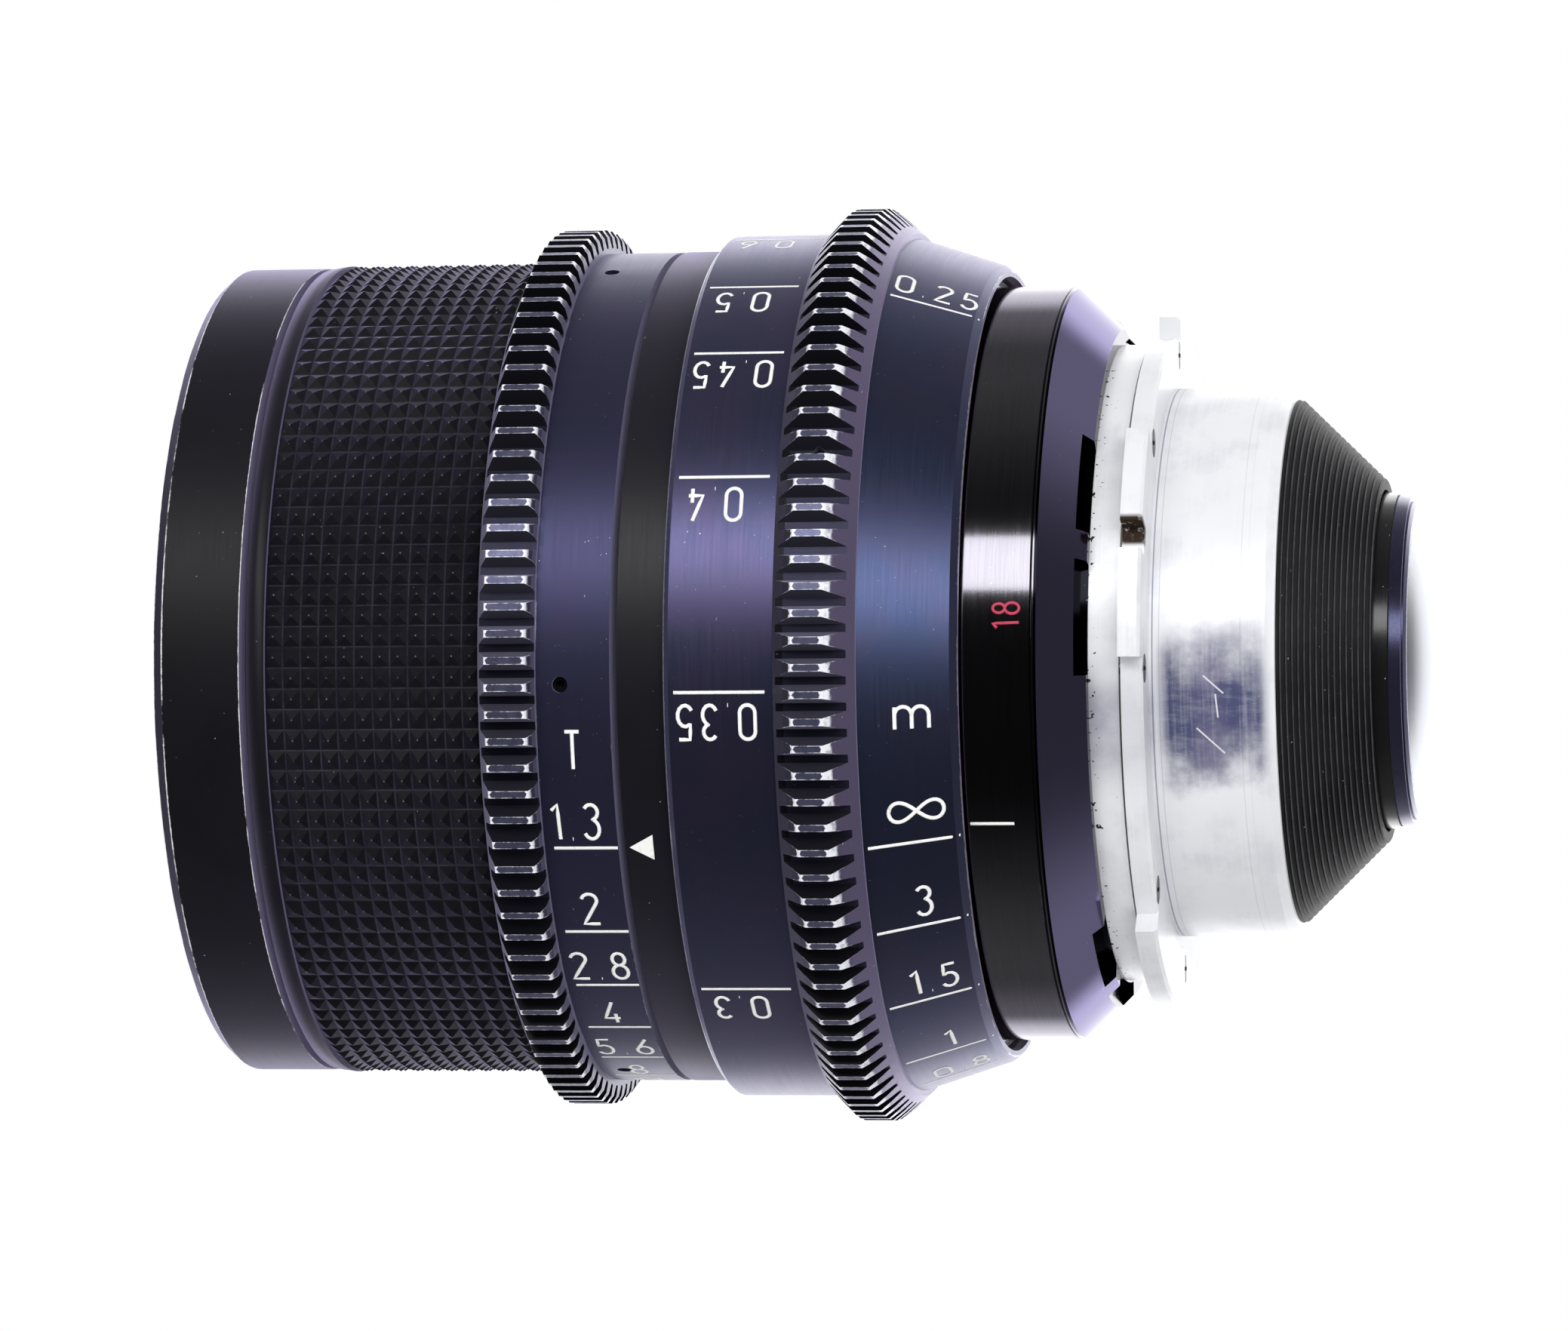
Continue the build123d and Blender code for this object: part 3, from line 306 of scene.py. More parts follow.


# Gear teeth: masks of their flat tips; of the collar behind them, painted lighter as a painted highlight
# where the faces turn to the rear;
# of the painted shade on the front; and of the flanks and grooves, painted near black as dirt and painted
# shade. The last value tells where the teeth are rubbed bare.
def gearTeeth(tree, place, teeth):
    pitch = 2 * math.pi / teeth["count"]
    turns = withinPitch(tree, place["angle"], math.radians(teeth["grooveAngle"]), pitch)
    fromMiddle = times(tree, awayFrom(tree, turns, 0.5), pitch)
    below = minus(tree, teeth["tip"], place["radius"])
    across = minus(tree, times(tree, fromMiddle, place["radius"]), times(tree, below, teeth["flankSlope"]))
    patchy = noise(tree, place["point"], 1.3, detail=5.0, roughness=0.8, seed=3.0)
    shake = minus(tree, patchy, 0.5)
    tilt = calc(tree, "ABSOLUTE", place["normalX"])
    level = between(tree, tilt, *teeth["levelTilt"])
    # Flanks, painted near black as dirt and painted shade between the teeth
    flank = times(tree, between(tree, place["outward"], *teeth["flankOutward"]), level)
    land = times(tree, between(tree, place["outward"], *teeth["landOutward"]),
                 between(tree, below, *teeth["landBelow"]), between(tree, patchy, 0.3, 0.7, 0.35, 1.0))
    edgeFrom, edgeTo = [teeth["land"] / 2 - inset for inset in teeth["edgeInset"]]
    edge = between(tree, plus(tree, across, times(tree, shake, teeth["edgeShake"])), edgeFrom, edgeTo)
    edge = times(tree, edge, between(tree, below, *teeth["edgeBelow"]),
                 between(tree, patchy, 0.40, 0.56, 0.1, 0.8))
    ends = []
    for edgeX in teeth["ends"]:
        gap = plus(tree, awayFrom(tree, place["x"], edgeX), times(tree, shake, teeth["endShake"]))
        gap = minus(tree, gap, times(tree, across, 0.6))
        ends.append(between(tree, gap, teeth["endLength"], teeth["endLength"] * 0.3))
    wornEnds = times(tree, largest(tree, *ends), between(tree, below, *teeth["endBelow"]))
    wornDepth = between(tree, place["normalX"], -0.1, 0.1, teeth["frontDepth"], teeth["slopeDepth"])
    deeper = minus(tree, plus(tree, below, times(tree, shake, teeth["slopeShake"])), wornDepth)
    slope = times(tree, between(tree, tilt, *teeth["slopeTilt"]), between(tree, deeper, 0.12, -0.12),
                  between(tree, patchy, 0.3, 0.55, 0.3, teeth["slopeWear"]))
    bare = times(tree, largest(tree, edge, wornEnds, slope), minus(tree, 1.0, flank))
    depth = teeth["tip"] - teeth["root"]
    # Groove floors, painted darker as dirt and painted shade
    groove = between(tree, below, depth - 0.25, depth - 0.1, 0.0, teeth["grooveShare"])
    groove = times(tree, groove, level)
    # Painted highlight on the collar, where the faces turn to the rear
    collar = times(tree, between(tree, place["normalX"], *teeth["slopeTilt"]),
                   between(tree, below, teeth["slopeDepth"] - 0.1, teeth["slopeDepth"] + 0.2))
    # Painted shade on the faces turned to the front and on the gear before the teeth
    shade = largest(tree, between(tree, place["normalX"], -0.3, -0.45),
                    between(tree, place["x"], teeth["shadeTo"] + 0.1, teeth["shadeTo"]))
    return {"land": land, "collar": collar, "shade": shade, "flank": largest(tree, flank, groove)}, bare


# Knurled grip: dust in the valleys and points rubbed bright
def knurlWear(tree, place, knurl):
    patchy = noise(tree, place["point"], 0.35, detail=5.0, roughness=0.75, seed=9.0)
    high = minus(tree, place["radius"], knurl["valley"])
    inKnurl = between(tree, place["x"], knurl["front"], knurl["front"] + 0.1)
    dust = times(tree, between(tree, high, 0.07, 0.01), between(tree, patchy, 0.35, 0.65, 0.2, 1.0), inKnurl)
    point = between(tree, high, knurl["height"] * 0.86, knurl["height"] * 0.99)
    return dust, times(tree, point, inKnurl, between(tree, patchy, 0.4, 0.6, 0.02, 0.3))


# Painted highlight on the crests of the baffle's ribs, where they catch the light
def ribCrestHighlight(tree, place, crests):
    along = withinPitch(tree, place["x"], crests["front"], crests["pitch"])
    patchy = noise(tree, place["point"], 0.5, detail=4.0, roughness=0.7, seed=13.0)
    return times(tree, between(tree, along, 0.70, 0.78), between(tree, along, 1.0, 0.94),
                 between(tree, patchy, 0.3, 0.7, 0.35, 1.0))


def giveMaterial(material, names):
    for name in names:
        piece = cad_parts[name]
        piece.data.materials.clear()
        piece.data.materials.append(material)


# The violet parts' bores are painted near black as painted shade
violetFinish = dict(plainFinish, colour=(0.086, 0.074, 0.155, 1), secondColour=(0.066, 0.072, 0.148, 1),
                    grainColour=(0.092, 0.088, 0.165, 1), metallic=0.94, roughness=0.355, sheen=0.45,
                    sheenRoughness=0.42, paintedBoreShade=(0.003, 0.003, 0.004, 1))
focusFinish = dict(violetFinish, edges=((-44.05, 42.17),), broken=0.34, edgeWidth=0.11)
coneFinish = dict(violetFinish, colour=(0.050, 0.068, 0.145, 1), secondColour=(0.062, 0.068, 0.138, 1),
                  grainColour=(0.064, 0.080, 0.156, 1), sheenTint=(0.85, 0.68, 1.0, 1),
                  edges=((-16.6, 38.83),), broken=0.46)
scaleFinish = dict(violetFinish, colour=(0.050, 0.046, 0.104, 1), secondColour=(0.045, 0.047, 0.100, 1),
                   grainColour=(0.056, 0.054, 0.110, 1), metallic=0.86, roughness=0.40, cloudScale=0.16,
                   edges=((-49.4, 41.22), (-56.5, 41.22)), broken=0.54, edgeWidth=0.05)
# Tooth colours: flankColour is dirt and painted shade, shadeColour is painted shade, and each gear's
# collarColour is a painted highlight
toothLook = {"land": 0.7, "landOutward": (0.9, 0.96), "landBelow": (0.25, 0.1), "flankSlope": 0.31,
             "flankOutward": (0.65, 0.45), "levelTilt": (0.25, 0.1), "slopeTilt": (0.3, 0.45),
             "edgeInset": (0.07, 0.02), "edgeBelow": (1.2, 0.8), "edgeShake": 0.16, "endBelow": (0.3, 0.15),
             "endShake": 0.6, "slopeShake": 0.8, "grooveShare": 0.75, "landColour": (0.12, 0.125, 0.20, 1),
             "flankColour": (0.003, 0.003, 0.004, 1), "shadeColour": (0.012, 0.011, 0.02, 1)}
focusTeeth = dict(toothLook, count=111, grooveAngle=1.33, tip=45.2, root=43.4, ends=(-31.4, -28.5),
                  slopeWear=1.0, slopeDepth=0.6, frontDepth=0.15, shadeTo=-32.5, endLength=0.20,
                  collarColour=(0.15, 0.125, 0.22, 1))
irisTeeth = dict(toothLook, count=107, grooveAngle=2.54, tip=43.6, root=41.8, ends=(-60.98, -57.17),
                 slopeWear=0.9, slopeDepth=0.3, frontDepth=0.25, shadeTo=-62.0, endLength=0.16,
                 collarColour=(0.05, 0.045, 0.09, 1))
rubbedColour = (0.82, 0.82, 0.88, 1)
focusGearFinish = dict(violetFinish, teeth=focusTeeth, metallic=0.7, bareColour=rubbedColour)
irisGearFinish = dict(scaleFinish, teeth=irisTeeth, edges=None, metallic=0.7, roughness=0.35,
                      bareColour=rubbedColour)
satinFinish = dict(plainFinish, colour=(0.0030, 0.0028, 0.0045, 1), secondColour=(0.004, 0.0036, 0.006, 1),
                   grainColour=(0.006, 0.0055, 0.008, 1), roughness=0.44, specular=0.24, sheen=1.0,
                   sheenRoughness=0.33, sheenTint=(0.68, 0.60, 1.0, 1), speckLimit=0.735)
frontFinish = dict(satinFinish, edges=((-93.2, 40.24), (-94.16, 39.39), (-85.6, 40.24)), edgeWidth=0.08)
bandFinish = dict(satinFinish, roughness=0.40, specular=0.3, sheenRoughness=0.38,
                  edges=((-48.7, 41.25), (-44.3, 41.25)), broken=0.6, edgeWidth=0.05)
# The rear cone's pockets are painted near black as painted shade
barrelCone = {"front": -9.7, "colour": (0.175, 0.157, 0.28, 1), "outward": 0.743, "offOutward": (0.06, 0.12),
              "pocketShadeColour": (0.006, 0.006, 0.008, 1)}
glossFinish = dict(plainFinish, colour=(0.145, 0.14, 0.155, 1), secondColour=(0.155, 0.15, 0.165, 1),
                   grainColour=(0.18, 0.175, 0.19, 1), grainShare=0.15, rearCone=barrelCone, metallic=1.0,
                   roughness=0.10, roughSpread=0.02, edgeTint=(0.64, 0.63, 0.67, 1), linesPerMillimetre=5.0,
                   lineShare=0.3, lineColour=(0.21, 0.20, 0.25, 1), speckLimit=0.72,
                   edges=((-10.05, 37.23), (-5.25, 32.9)), broken=0.56, edgeWidth=0.04, bump=0.0000015)
matteFinish = dict(plainFinish, colour=(0.006, 0.006, 0.0065, 1), secondColour=(0.008, 0.0075, 0.0085, 1),
                   grainColour=(0.013, 0.0125, 0.014, 1), roughness=0.6, specular=0.2)
# The rib crests get a lighter colour as a painted highlight
baffleFinish = dict(matteFinish, crests={"front": 11.9, "pitch": 0.5219, "colour": (0.060, 0.058, 0.070, 1)},
                    colour=(0.0032, 0.003, 0.004, 1), grainShare=0.2, specular=0.4)
cellRingFinish = dict(violetFinish, colour=(0.040, 0.037, 0.075, 1), secondColour=(0.032, 0.034, 0.068, 1),
                      metallic=0.8, roughness=0.22, edges=((23.4, 15.0), (21.68, 16.5)), broken=0.3,
                      bareColour=(0.38, 0.36, 0.52, 1))
neckFinish = dict(matteFinish, roughness=0.2, specular=0.5)
innerFinish = dict(plainFinish, colour=(0.42, 0.42, 0.44, 1), secondColour=(0.5, 0.5, 0.52, 1),
                   grainColour=(0.6, 0.6, 0.62, 1), roughness=0.35, metallic=1.0)
brassFinish = dict(plainFinish, colour=(0.40, 0.27, 0.10, 1), secondColour=(0.32, 0.20, 0.08, 1),
                   grainColour=(0.5, 0.36, 0.16, 1), roughness=0.4, metallic=0.8)
shimFinish = dict(brassFinish, colour=(0.34, 0.31, 0.27, 1), secondColour=(0.26, 0.22, 0.18, 1))
screwFinish = dict(plainFinish, colour=(0.16, 0.16, 0.18, 1), secondColour=(0.2, 0.2, 0.22, 1),
                   grainColour=(0.28, 0.28, 0.3, 1), roughness=0.35, metallic=1.0)
darkScrewFinish = dict(screwFinish, colour=(0.02, 0.02, 0.022, 1), secondColour=(0.025, 0.025, 0.03, 1),
                       grainColour=(0.04, 0.04, 0.045, 1))
bladeFinish = dict(plainFinish, colour=(0.045, 0.045, 0.05, 1), secondColour=(0.06, 0.06, 0.065, 1),
                   grainColour=(0.08, 0.08, 0.085, 1), roughness=0.38, metallic=0.9)

finishedPieces = {
    "focusSleeveViolet": (focusFinish, ["focus_sleeve"]),
    "focusConeViolet": (coneFinish, ["focus_cone"]),
    "irisScaleViolet": (scaleFinish, ["iris_scale_ring"]),
    "focusGearViolet": (focusGearFinish, ["focus_gear"]),
    "irisGearViolet": (irisGearFinish, ["iris_gear"]),
    "frontRingBlack": (frontFinish, ["front_ring"]),
    "indexBandBlack": (bandFinish, ["index_band"]),
    "barrelGlossBlack": (glossFinish, ["rear_barrel"]),
    "cellRingViolet": (cellRingFinish, ["rear_retainer"]),
    "baffleBlack": (baffleFinish, ["rear_baffle"]),
    "neckBlack": (neckFinish, ["rear_group_barrel"]),
    "matteBlack": (matteFinish, ["front_barrel", "front_baffle", "front_cell", "front_retainer",
                                 "front_spacer", "middle_spacer", "rear_spacer", "second_rear_spacer",
                                 "rear_group_retainer", "iris_retainer", "iris_base_plate"]),
    "turnedAluminium": (innerFinish, ["guide_tube", "focus_retainer", "iris_cam_ring"]),
    "turnedBrass": (brassFinish, ["focus_nut"]),
    "shimBrass": (shimFinish, ["mount_shim"]),
    "screwSteel": (screwFinish, ["mount_screws", "key_screws", "guide_key", "focus_stop_pin",
                                 "iris_drive_pin"]),
    "darkScrewSteel": (darkScrewFinish, ["focus_gear_screws", "iris_set_screws"]),
    "bladeSteel": (bladeFinish, [f"iris_blade_{number}" for number in range(1, 8)]),
}
for materialName, (finish, pieceNames) in finishedPieces.items():
    giveMaterial(anodised(materialName, finish), pieceNames)


# Bare turned metal: the mount with its blue patch on the throat, which is partly a real stain and partly a
# painted reflection of the dark room, scratches and grime in the notch, and the pitted seat ring. The seat
# ring and the flange get painted shade at the same angles.
# Angles are in degrees, rings are (x, width, share), and a scratch runs between two (x, angle) points.
mountMetal = {
    "colour": (0.82, 0.825, 0.85, 1), "dullColour": (0.64, 0.645, 0.69, 1), "metallic": 0.15,
    "specular": 0.06, "roughness": 0.26, "roughSpread": 0.12, "bump": 0.000002, "throatRadius": 27.0,
    # The throat's blue patch is partly a real stain and partly a painted reflection of the dark room in
    # front; shadeAngles, seatShade and flangeShade give painted shade on the seat ring and the flange
    "stainAndShadeColour": (0.075, 0.082, 0.17, 1), "stainAndShadeAngles": (-20.0, 2.5), "stainAndShadeSpan": (0.8, 10.3),
    "violetColour": (0.20, 0.17, 0.28, 1), "violetX": 5.8,
    "shadeAngles": (-20.0, -4.0), "seatShade": 0.6, "flangeShade": 0.28,
    "rings": ((0.3, 0.10, 0.6), (0.95, 0.06, 0.25), (8.7, 0.07, 0.15), (9.4, 0.05, 0.10)),
    "scratches": ((5.2, -2.8, 7.0, -6.2), (6.3, -6.6, 6.5, -11.1), (4.5, -13.5, 7.0, -18.6)),
    "notchAngle": 22.4, "notchRadius": (30.6, 31.4), "grimeColour": (0.035, 0.022, 0.014, 1),
    "pitLimit": (0.715, 0.73), "pitEdge": (-3.6, -5.2), "pitColour": (0.03, 0.03, 0.03, 1),
}


# Distance in millimetres from a scratch on the throat
def fromScratch(tree, place, scratch, radius):
    startX, startAngle, endX, endAngle = scratch
    startArc = math.radians(startAngle) * radius
    stepX = endX - startX
    stepArc = math.radians(endAngle) * radius - startArc
    length = math.hypot(stepX, stepArc)
    x = minus(tree, place["x"], startX)
    y = minus(tree, times(tree, place["angle"], radius), startArc)
    along = plus(tree, times(tree, x, stepX / length), times(tree, y, stepArc / length))
    side = minus(tree, times(tree, x, stepArc / length), times(tree, y, stepX / length))
    past = largest(tree, minus(tree, along, length), times(tree, along, -1.0))
    return largest(tree, calc(tree, "ABSOLUTE", side), past)


def throatColour(tree, place, degree, smudge, colour, metal):
    low, high = metal["stainAndShadeAngles"]
    front, rear = metal["stainAndShadeSpan"]
    rubbed = noise(tree, combine(tree, times(tree, place["x"], 0.5), degree, 0.0), 0.6, detail=6.0,
                   roughness=0.75, seed=11.0)
    crossed = times(tree, latheLines(tree, place, 2.4, 2.4), rubbed)
    uneven = plus(tree, degree, between(tree, smudge, 0.3, 0.7, -4.0, 4.0))
    # Blue patch: partly a real stain, partly a painted reflection of the dark room in front
    patch = times(tree, between(tree, uneven, low - 10, low + 7), between(tree, uneven, high + 7, high - 9),
                  between(tree, place["x"], front - 0.6, front + 1.2),
                  between(tree, place["x"], rear + 1.4, rear),
                  between(tree, crossed, 0.08, 0.30, 0.72, 1.0))
    for ringX, width, share in metal["rings"]:
        ring = between(tree, awayFrom(tree, place["x"], ringX), width, width * 0.4, 0.0, share)
        ring = times(tree, ring, between(tree, place["outward"], 0.8, 0.9))
        colour = mixColour(tree, ring, colour, metal["stainAndShadeColour"])
    colour = mixColour(tree, patch, colour, metal["stainAndShadeColour"])
    violet = times(tree, between(tree, awayFrom(tree, place["x"], metal["violetX"]), 2.2, 0.6), patch,
                   between(tree, smudge, 0.35, 0.6, 0.1, 0.55))
    colour = mixColour(tree, violet, colour, metal["violetColour"])
    for scratch in metal["scratches"]:
        distance = fromScratch(tree, place, scratch, metal["throatRadius"])
        line = between(tree, distance, 0.11, 0.05, 0.0, 0.8)
        line = times(tree, line, between(tree, place["x"], 1.0, 1.5))
        colour = mixColour(tree, line, colour, metal["colour"])
    patchy = noise(tree, place["point"], 1.2, detail=4.0, roughness=0.7, seed=14.0)
    grime = times(tree, between(tree, awayFrom(tree, degree, metal["notchAngle"]), 2.3, 1.3),
                  between(tree, place["radius"], *metal["notchRadius"]), between(tree, patchy, 0.25, 0.45))
    return mixColour(tree, grime, colour, metal["grimeColour"])


def pittedColour(tree, place, colour, metal):
    pits = noise(tree, place["point"], 1.9, detail=2.0, roughness=0.6, seed=21.0)
    nearEdge = between(tree, place["x"], *metal["pitEdge"], -0.015, 0.09)
    pitMask = between(tree, plus(tree, pits, nearEdge), *metal["pitLimit"])
    return mixColour(tree, pitMask, colour, metal["pitColour"])


def bareMetal(name, metal, isSeat):
    material, tree, shader = newMaterial(name)
    place = lensPlace(tree)
    degree = times(tree, place["angle"], 180 / math.pi)
    lines = latheLines(tree, place, 3.0, 0.6)
    smudge = noise(tree, place["point"], 0.18, detail=5.0, roughness=0.6, seed=12.0)
    dull = times(tree, between(tree, lines, 0.35, 0.7, 0.35, 0.0), between(tree, smudge, 0.4, 0.65))
    dull = plus(tree, dull, between(tree, smudge, 0.48, 0.7, 0.0, 0.35))
    colour = mixColour(tree, dull, metal["colour"], metal["dullColour"])
    # Painted shade on the seat ring and the flange, in the colour of the throat's patch
    low, high = metal["shadeAngles"]
    shade = times(tree, between(tree, degree, low - 6, low + 6), between(tree, degree, high + 7, high - 5),
                  between(tree, smudge, 0.25, 0.6, 0.6, 1.0), between(tree, place["x"], 0.6, 0.3),
                  metal["seatShade"] if isSeat else metal["flangeShade"])
    colour = mixColour(tree, shade, colour, metal["stainAndShadeColour"])
    if isSeat:
        colour = pittedColour(tree, place, colour, metal)
    else:
        colour = throatColour(tree, place, degree, smudge, colour, metal)
    feed(tree, shader.inputs["Base Color"], colour)
    roughest = metal["roughness"] + metal["roughSpread"]
    feed(tree, shader.inputs["Roughness"], between(tree, lines, 0.2, 0.8, metal["roughness"], roughest))
    shader.inputs["Metallic"].default_value = metal["metallic"]
    shader.inputs["Specular IOR Level"].default_value = metal["specular"]
    addBump(tree, shader, lines, metal["bump"])
    return material


giveMaterial(bareMetal("mountMetal", mountMetal, isSeat=False), ["lens_mount"])
giveMaterial(bareMetal("seatRingMetal", mountMetal, isSeat=True), ["seat_ring"])


# Glass with a blackened rim. The outer pieces have a bluish coat, the inner ones mirror almost nothing.
glassLook = {"tint": (0.985, 0.99, 1.0, 1), "ior": 1.52, "coatIor": 1.6, "coatTint": (0.86, 0.90, 1.0, 1),
             "innerSpecular": 0.08, "rimColour": (0.006, 0.006, 0.007, 1), "rimDepth": 0.02,
             "coated": ("front_element", "rear_element"),
             "rimRadius": {"front_element": 33.6, "second_element": 25.5, "third_element": 20.0,
                           "fourth_element": 21.0, "fifth_element_front": 21.0, "fifth_element_rear": 21.0,
                           "sixth_element": 18.0, "rear_element": 14.5}}


def lensGlass(glassName, rimRadius, look):
    material, tree, output = emptyMaterial("glass_" + glassName)
    shader = tree.nodes.new("ShaderNodeBsdfPrincipled")
    shader.inputs["Base Color"].default_value = look["tint"]
    shader.inputs["Roughness"].default_value = 0.0
    shader.inputs["IOR"].default_value = look["ior"]
    shader.inputs["Transmission Weight"].default_value = 1.0
    if glassName in look["coated"]:
        shader.inputs["Coat Weight"].default_value = 1.0
        shader.inputs["Coat IOR"].default_value = look["coatIor"]
        shader.inputs["Coat Roughness"].default_value = 0.0
        shader.inputs["Coat Tint"].default_value = look["coatTint"]
    else:
        shader.inputs["Specular IOR Level"].default_value = look["innerSpecular"]
    rimShader = tree.nodes.new("ShaderNodeBsdfDiffuse")
    rimShader.inputs["Color"].default_value = look["rimColour"]
    onRim = calc(tree, "GREATER_THAN", lensPlace(tree)["radius"], rimRadius - look["rimDepth"])
    mix = mixShaders(tree, onRim, shader, rimShader)
    tree.links.new(mix.outputs[0], output.inputs["Surface"])
    return material


for glassName, rimRadius in glassLook["rimRadius"].items():
    giveMaterial(lensGlass(glassName, rimRadius, glassLook), [glassName])
print("stage 2: materials on the CAD nodes")


def startEdit():
    bpy.ops.object.mode_set(mode="EDIT")


def leaveEdit():
    bpy.ops.object.mode_set(mode="OBJECT")


def clearSelection():
    bpy.ops.object.select_all(action="DESELECT")


# Turned piece made from a circle that is extruded along its closed outline of (x, radius) corners
def turnPiece(name, outline, sides, startAngle=0.0):
    clearSelection()
    place, radius = outline[0]
    bpy.ops.mesh.primitive_circle_add(vertices=sides, radius=radius * mm, fill_type="NOTHING")
    piece = bpy.context.object
    piece.name = name
    startEdit()
    bpy.ops.mesh.select_all(action="SELECT")
    leaveEdit()
    turnIn = Matrix.Rotation(math.pi / 2, 4, "Y")
    rollIn = Matrix.Rotation(math.radians(startAngle), 4, "X")
    piece.data.transform(Matrix.Translation((place * mm, 0, 0)) @ rollIn @ turnIn)
    startEdit()
    for nextX, nextRadius in [*outline[1:], outline[0]]:
        bpy.ops.mesh.extrude_region_move(TRANSFORM_OT_translate={"value": ((nextX - place) * mm, 0, 0)})
        grow = nextRadius / radius
        bpy.ops.transform.resize(value=(1, grow, grow), center_override=(nextX * mm, 0, 0))
        place, radius = nextX, nextRadius
    bpy.ops.mesh.select_all(action="SELECT")
    bpy.ops.mesh.remove_doubles(threshold=mergeDistance)
    bpy.ops.mesh.normals_make_consistent(inside=False)
    leaveEdit()
    return piece


def facesOutward(face):
    return abs(face.normal.x) < 0.5


# Iris grip, with rows of pyramids round it
grip = {"front": -84.9, "bandRear": -83.1, "knurlRear": -62.2, "rear": -62.1, "tubeRear": -50.4,
        "bore": 37.65, "tube": 39.2, "radius": 40.45, "frontRadius": 40.2, "valley": 39.88,
        "rowsRound": 127, "rowsAlong": 12, "grooveAngle": 1.22, "pyramidHeight": 0.56,
        "finish": dict(satinFinish, roughness=0.5, specular=0.14, sheen=0.9),
        "dust": {"front": -83.0, "dustColour": (0.028, 0.026, 0.035, 1)},
        "bandFinish": dict(satinFinish, colour=(0.006, 0.0055, 0.009, 1), sheenRoughness=0.36)}


def makeGrip(size):
    rowLength = (size["knurlRear"] - size["bandRear"]) / size["rowsAlong"]
    rows = [(size["bandRear"] + rowLength * row, size["valley"]) for row in range(size["rowsAlong"] + 1)]
    outline = [(size["front"], size["bore"]), (size["front"], size["frontRadius"]),
               (size["bandRear"], size["radius"]), *rows, (size["rear"], size["valley"]),
               (size["rear"], size["tube"]), (size["tubeRear"], size["tube"]),
               (size["tubeRear"], size["bore"])]
    piece = turnPiece("gripKnurled", outline, size["rowsRound"], size["grooveAngle"])
    startEdit()
    bpy.ops.mesh.select_mode(type="FACE")
    bpy.ops.mesh.select_all(action="DESELECT")
    leaveEdit()
    low = size["bandRear"] * mm
    high = size["knurlRear"] * mm
    inside = (size["tube"] + size["valley"]) / 2 * mm
    for face in piece.data.polygons:
        centre = face.center
        inKnurl = low < centre.x < high and math.hypot(centre.y, centre.z) > inside
        face.select = inKnurl and facesOutward(face)
    startEdit()
    bpy.ops.mesh.poke(offset=size["pyramidHeight"] * mm)
    bpy.ops.mesh.select_mode(type="VERT")
    leaveEdit()
    knurl = dict(size["dust"], valley=size["valley"], height=size["pyramidHeight"])
    piece.data.materials.append(anodised("gripBlack", dict(size["finish"], knurl=knurl)))
    piece.data.materials.append(anodised("gripBandBlack", size["bandFinish"]))
    for face in piece.data.polygons:
        banded = face.center.x < low
        face.material_index = 1 if banded else 0
        face.use_smooth = banded and facesOutward(face)
    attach(piece, "iris_ring")
    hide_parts("iris_grip")


makeGrip(grip)
print("stage 3: grip")


# Thread inside the front ring, for filters, made as ridges side by side that don't climb. The crest's
# places are shares of the pitch.
filterThread = {"front": -93.9, "rear": -89.5, "major": 38.48, "minor": 38.05, "pitch": 0.75,
                "crest": (0.35, 0.5), "backing": 0.03, "sides": 180}


def makeFilterThread(size):
    outline = [(size["front"], size["major"])]
    place = size["front"]
    while place + size["pitch"] < size["rear"]:
        for share in size["crest"]:
            outline.append((place + size["pitch"] * share, size["minor"]))
        place += size["pitch"]
        outline.append((place, size["major"]))
    outer = size["major"] + size["backing"]
    outline += [(place, outer), (size["front"], outer)]
    piece = turnPiece("filterThread", outline, size["sides"])
    piece.data.materials.append(bpy.data.materials["matteBlack"])
    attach(piece, "optical_block")


makeFilterThread(filterThread)


def bow(centreX, centreY, reachX, reachY, start, end, steps=10):
    points = []
    for step in range(steps + 1):
        turn = math.radians(start + (end - start) * step / steps)
        points.append((centreX + reachX * math.cos(turn), centreY + reachY * math.sin(turn)))
    return points


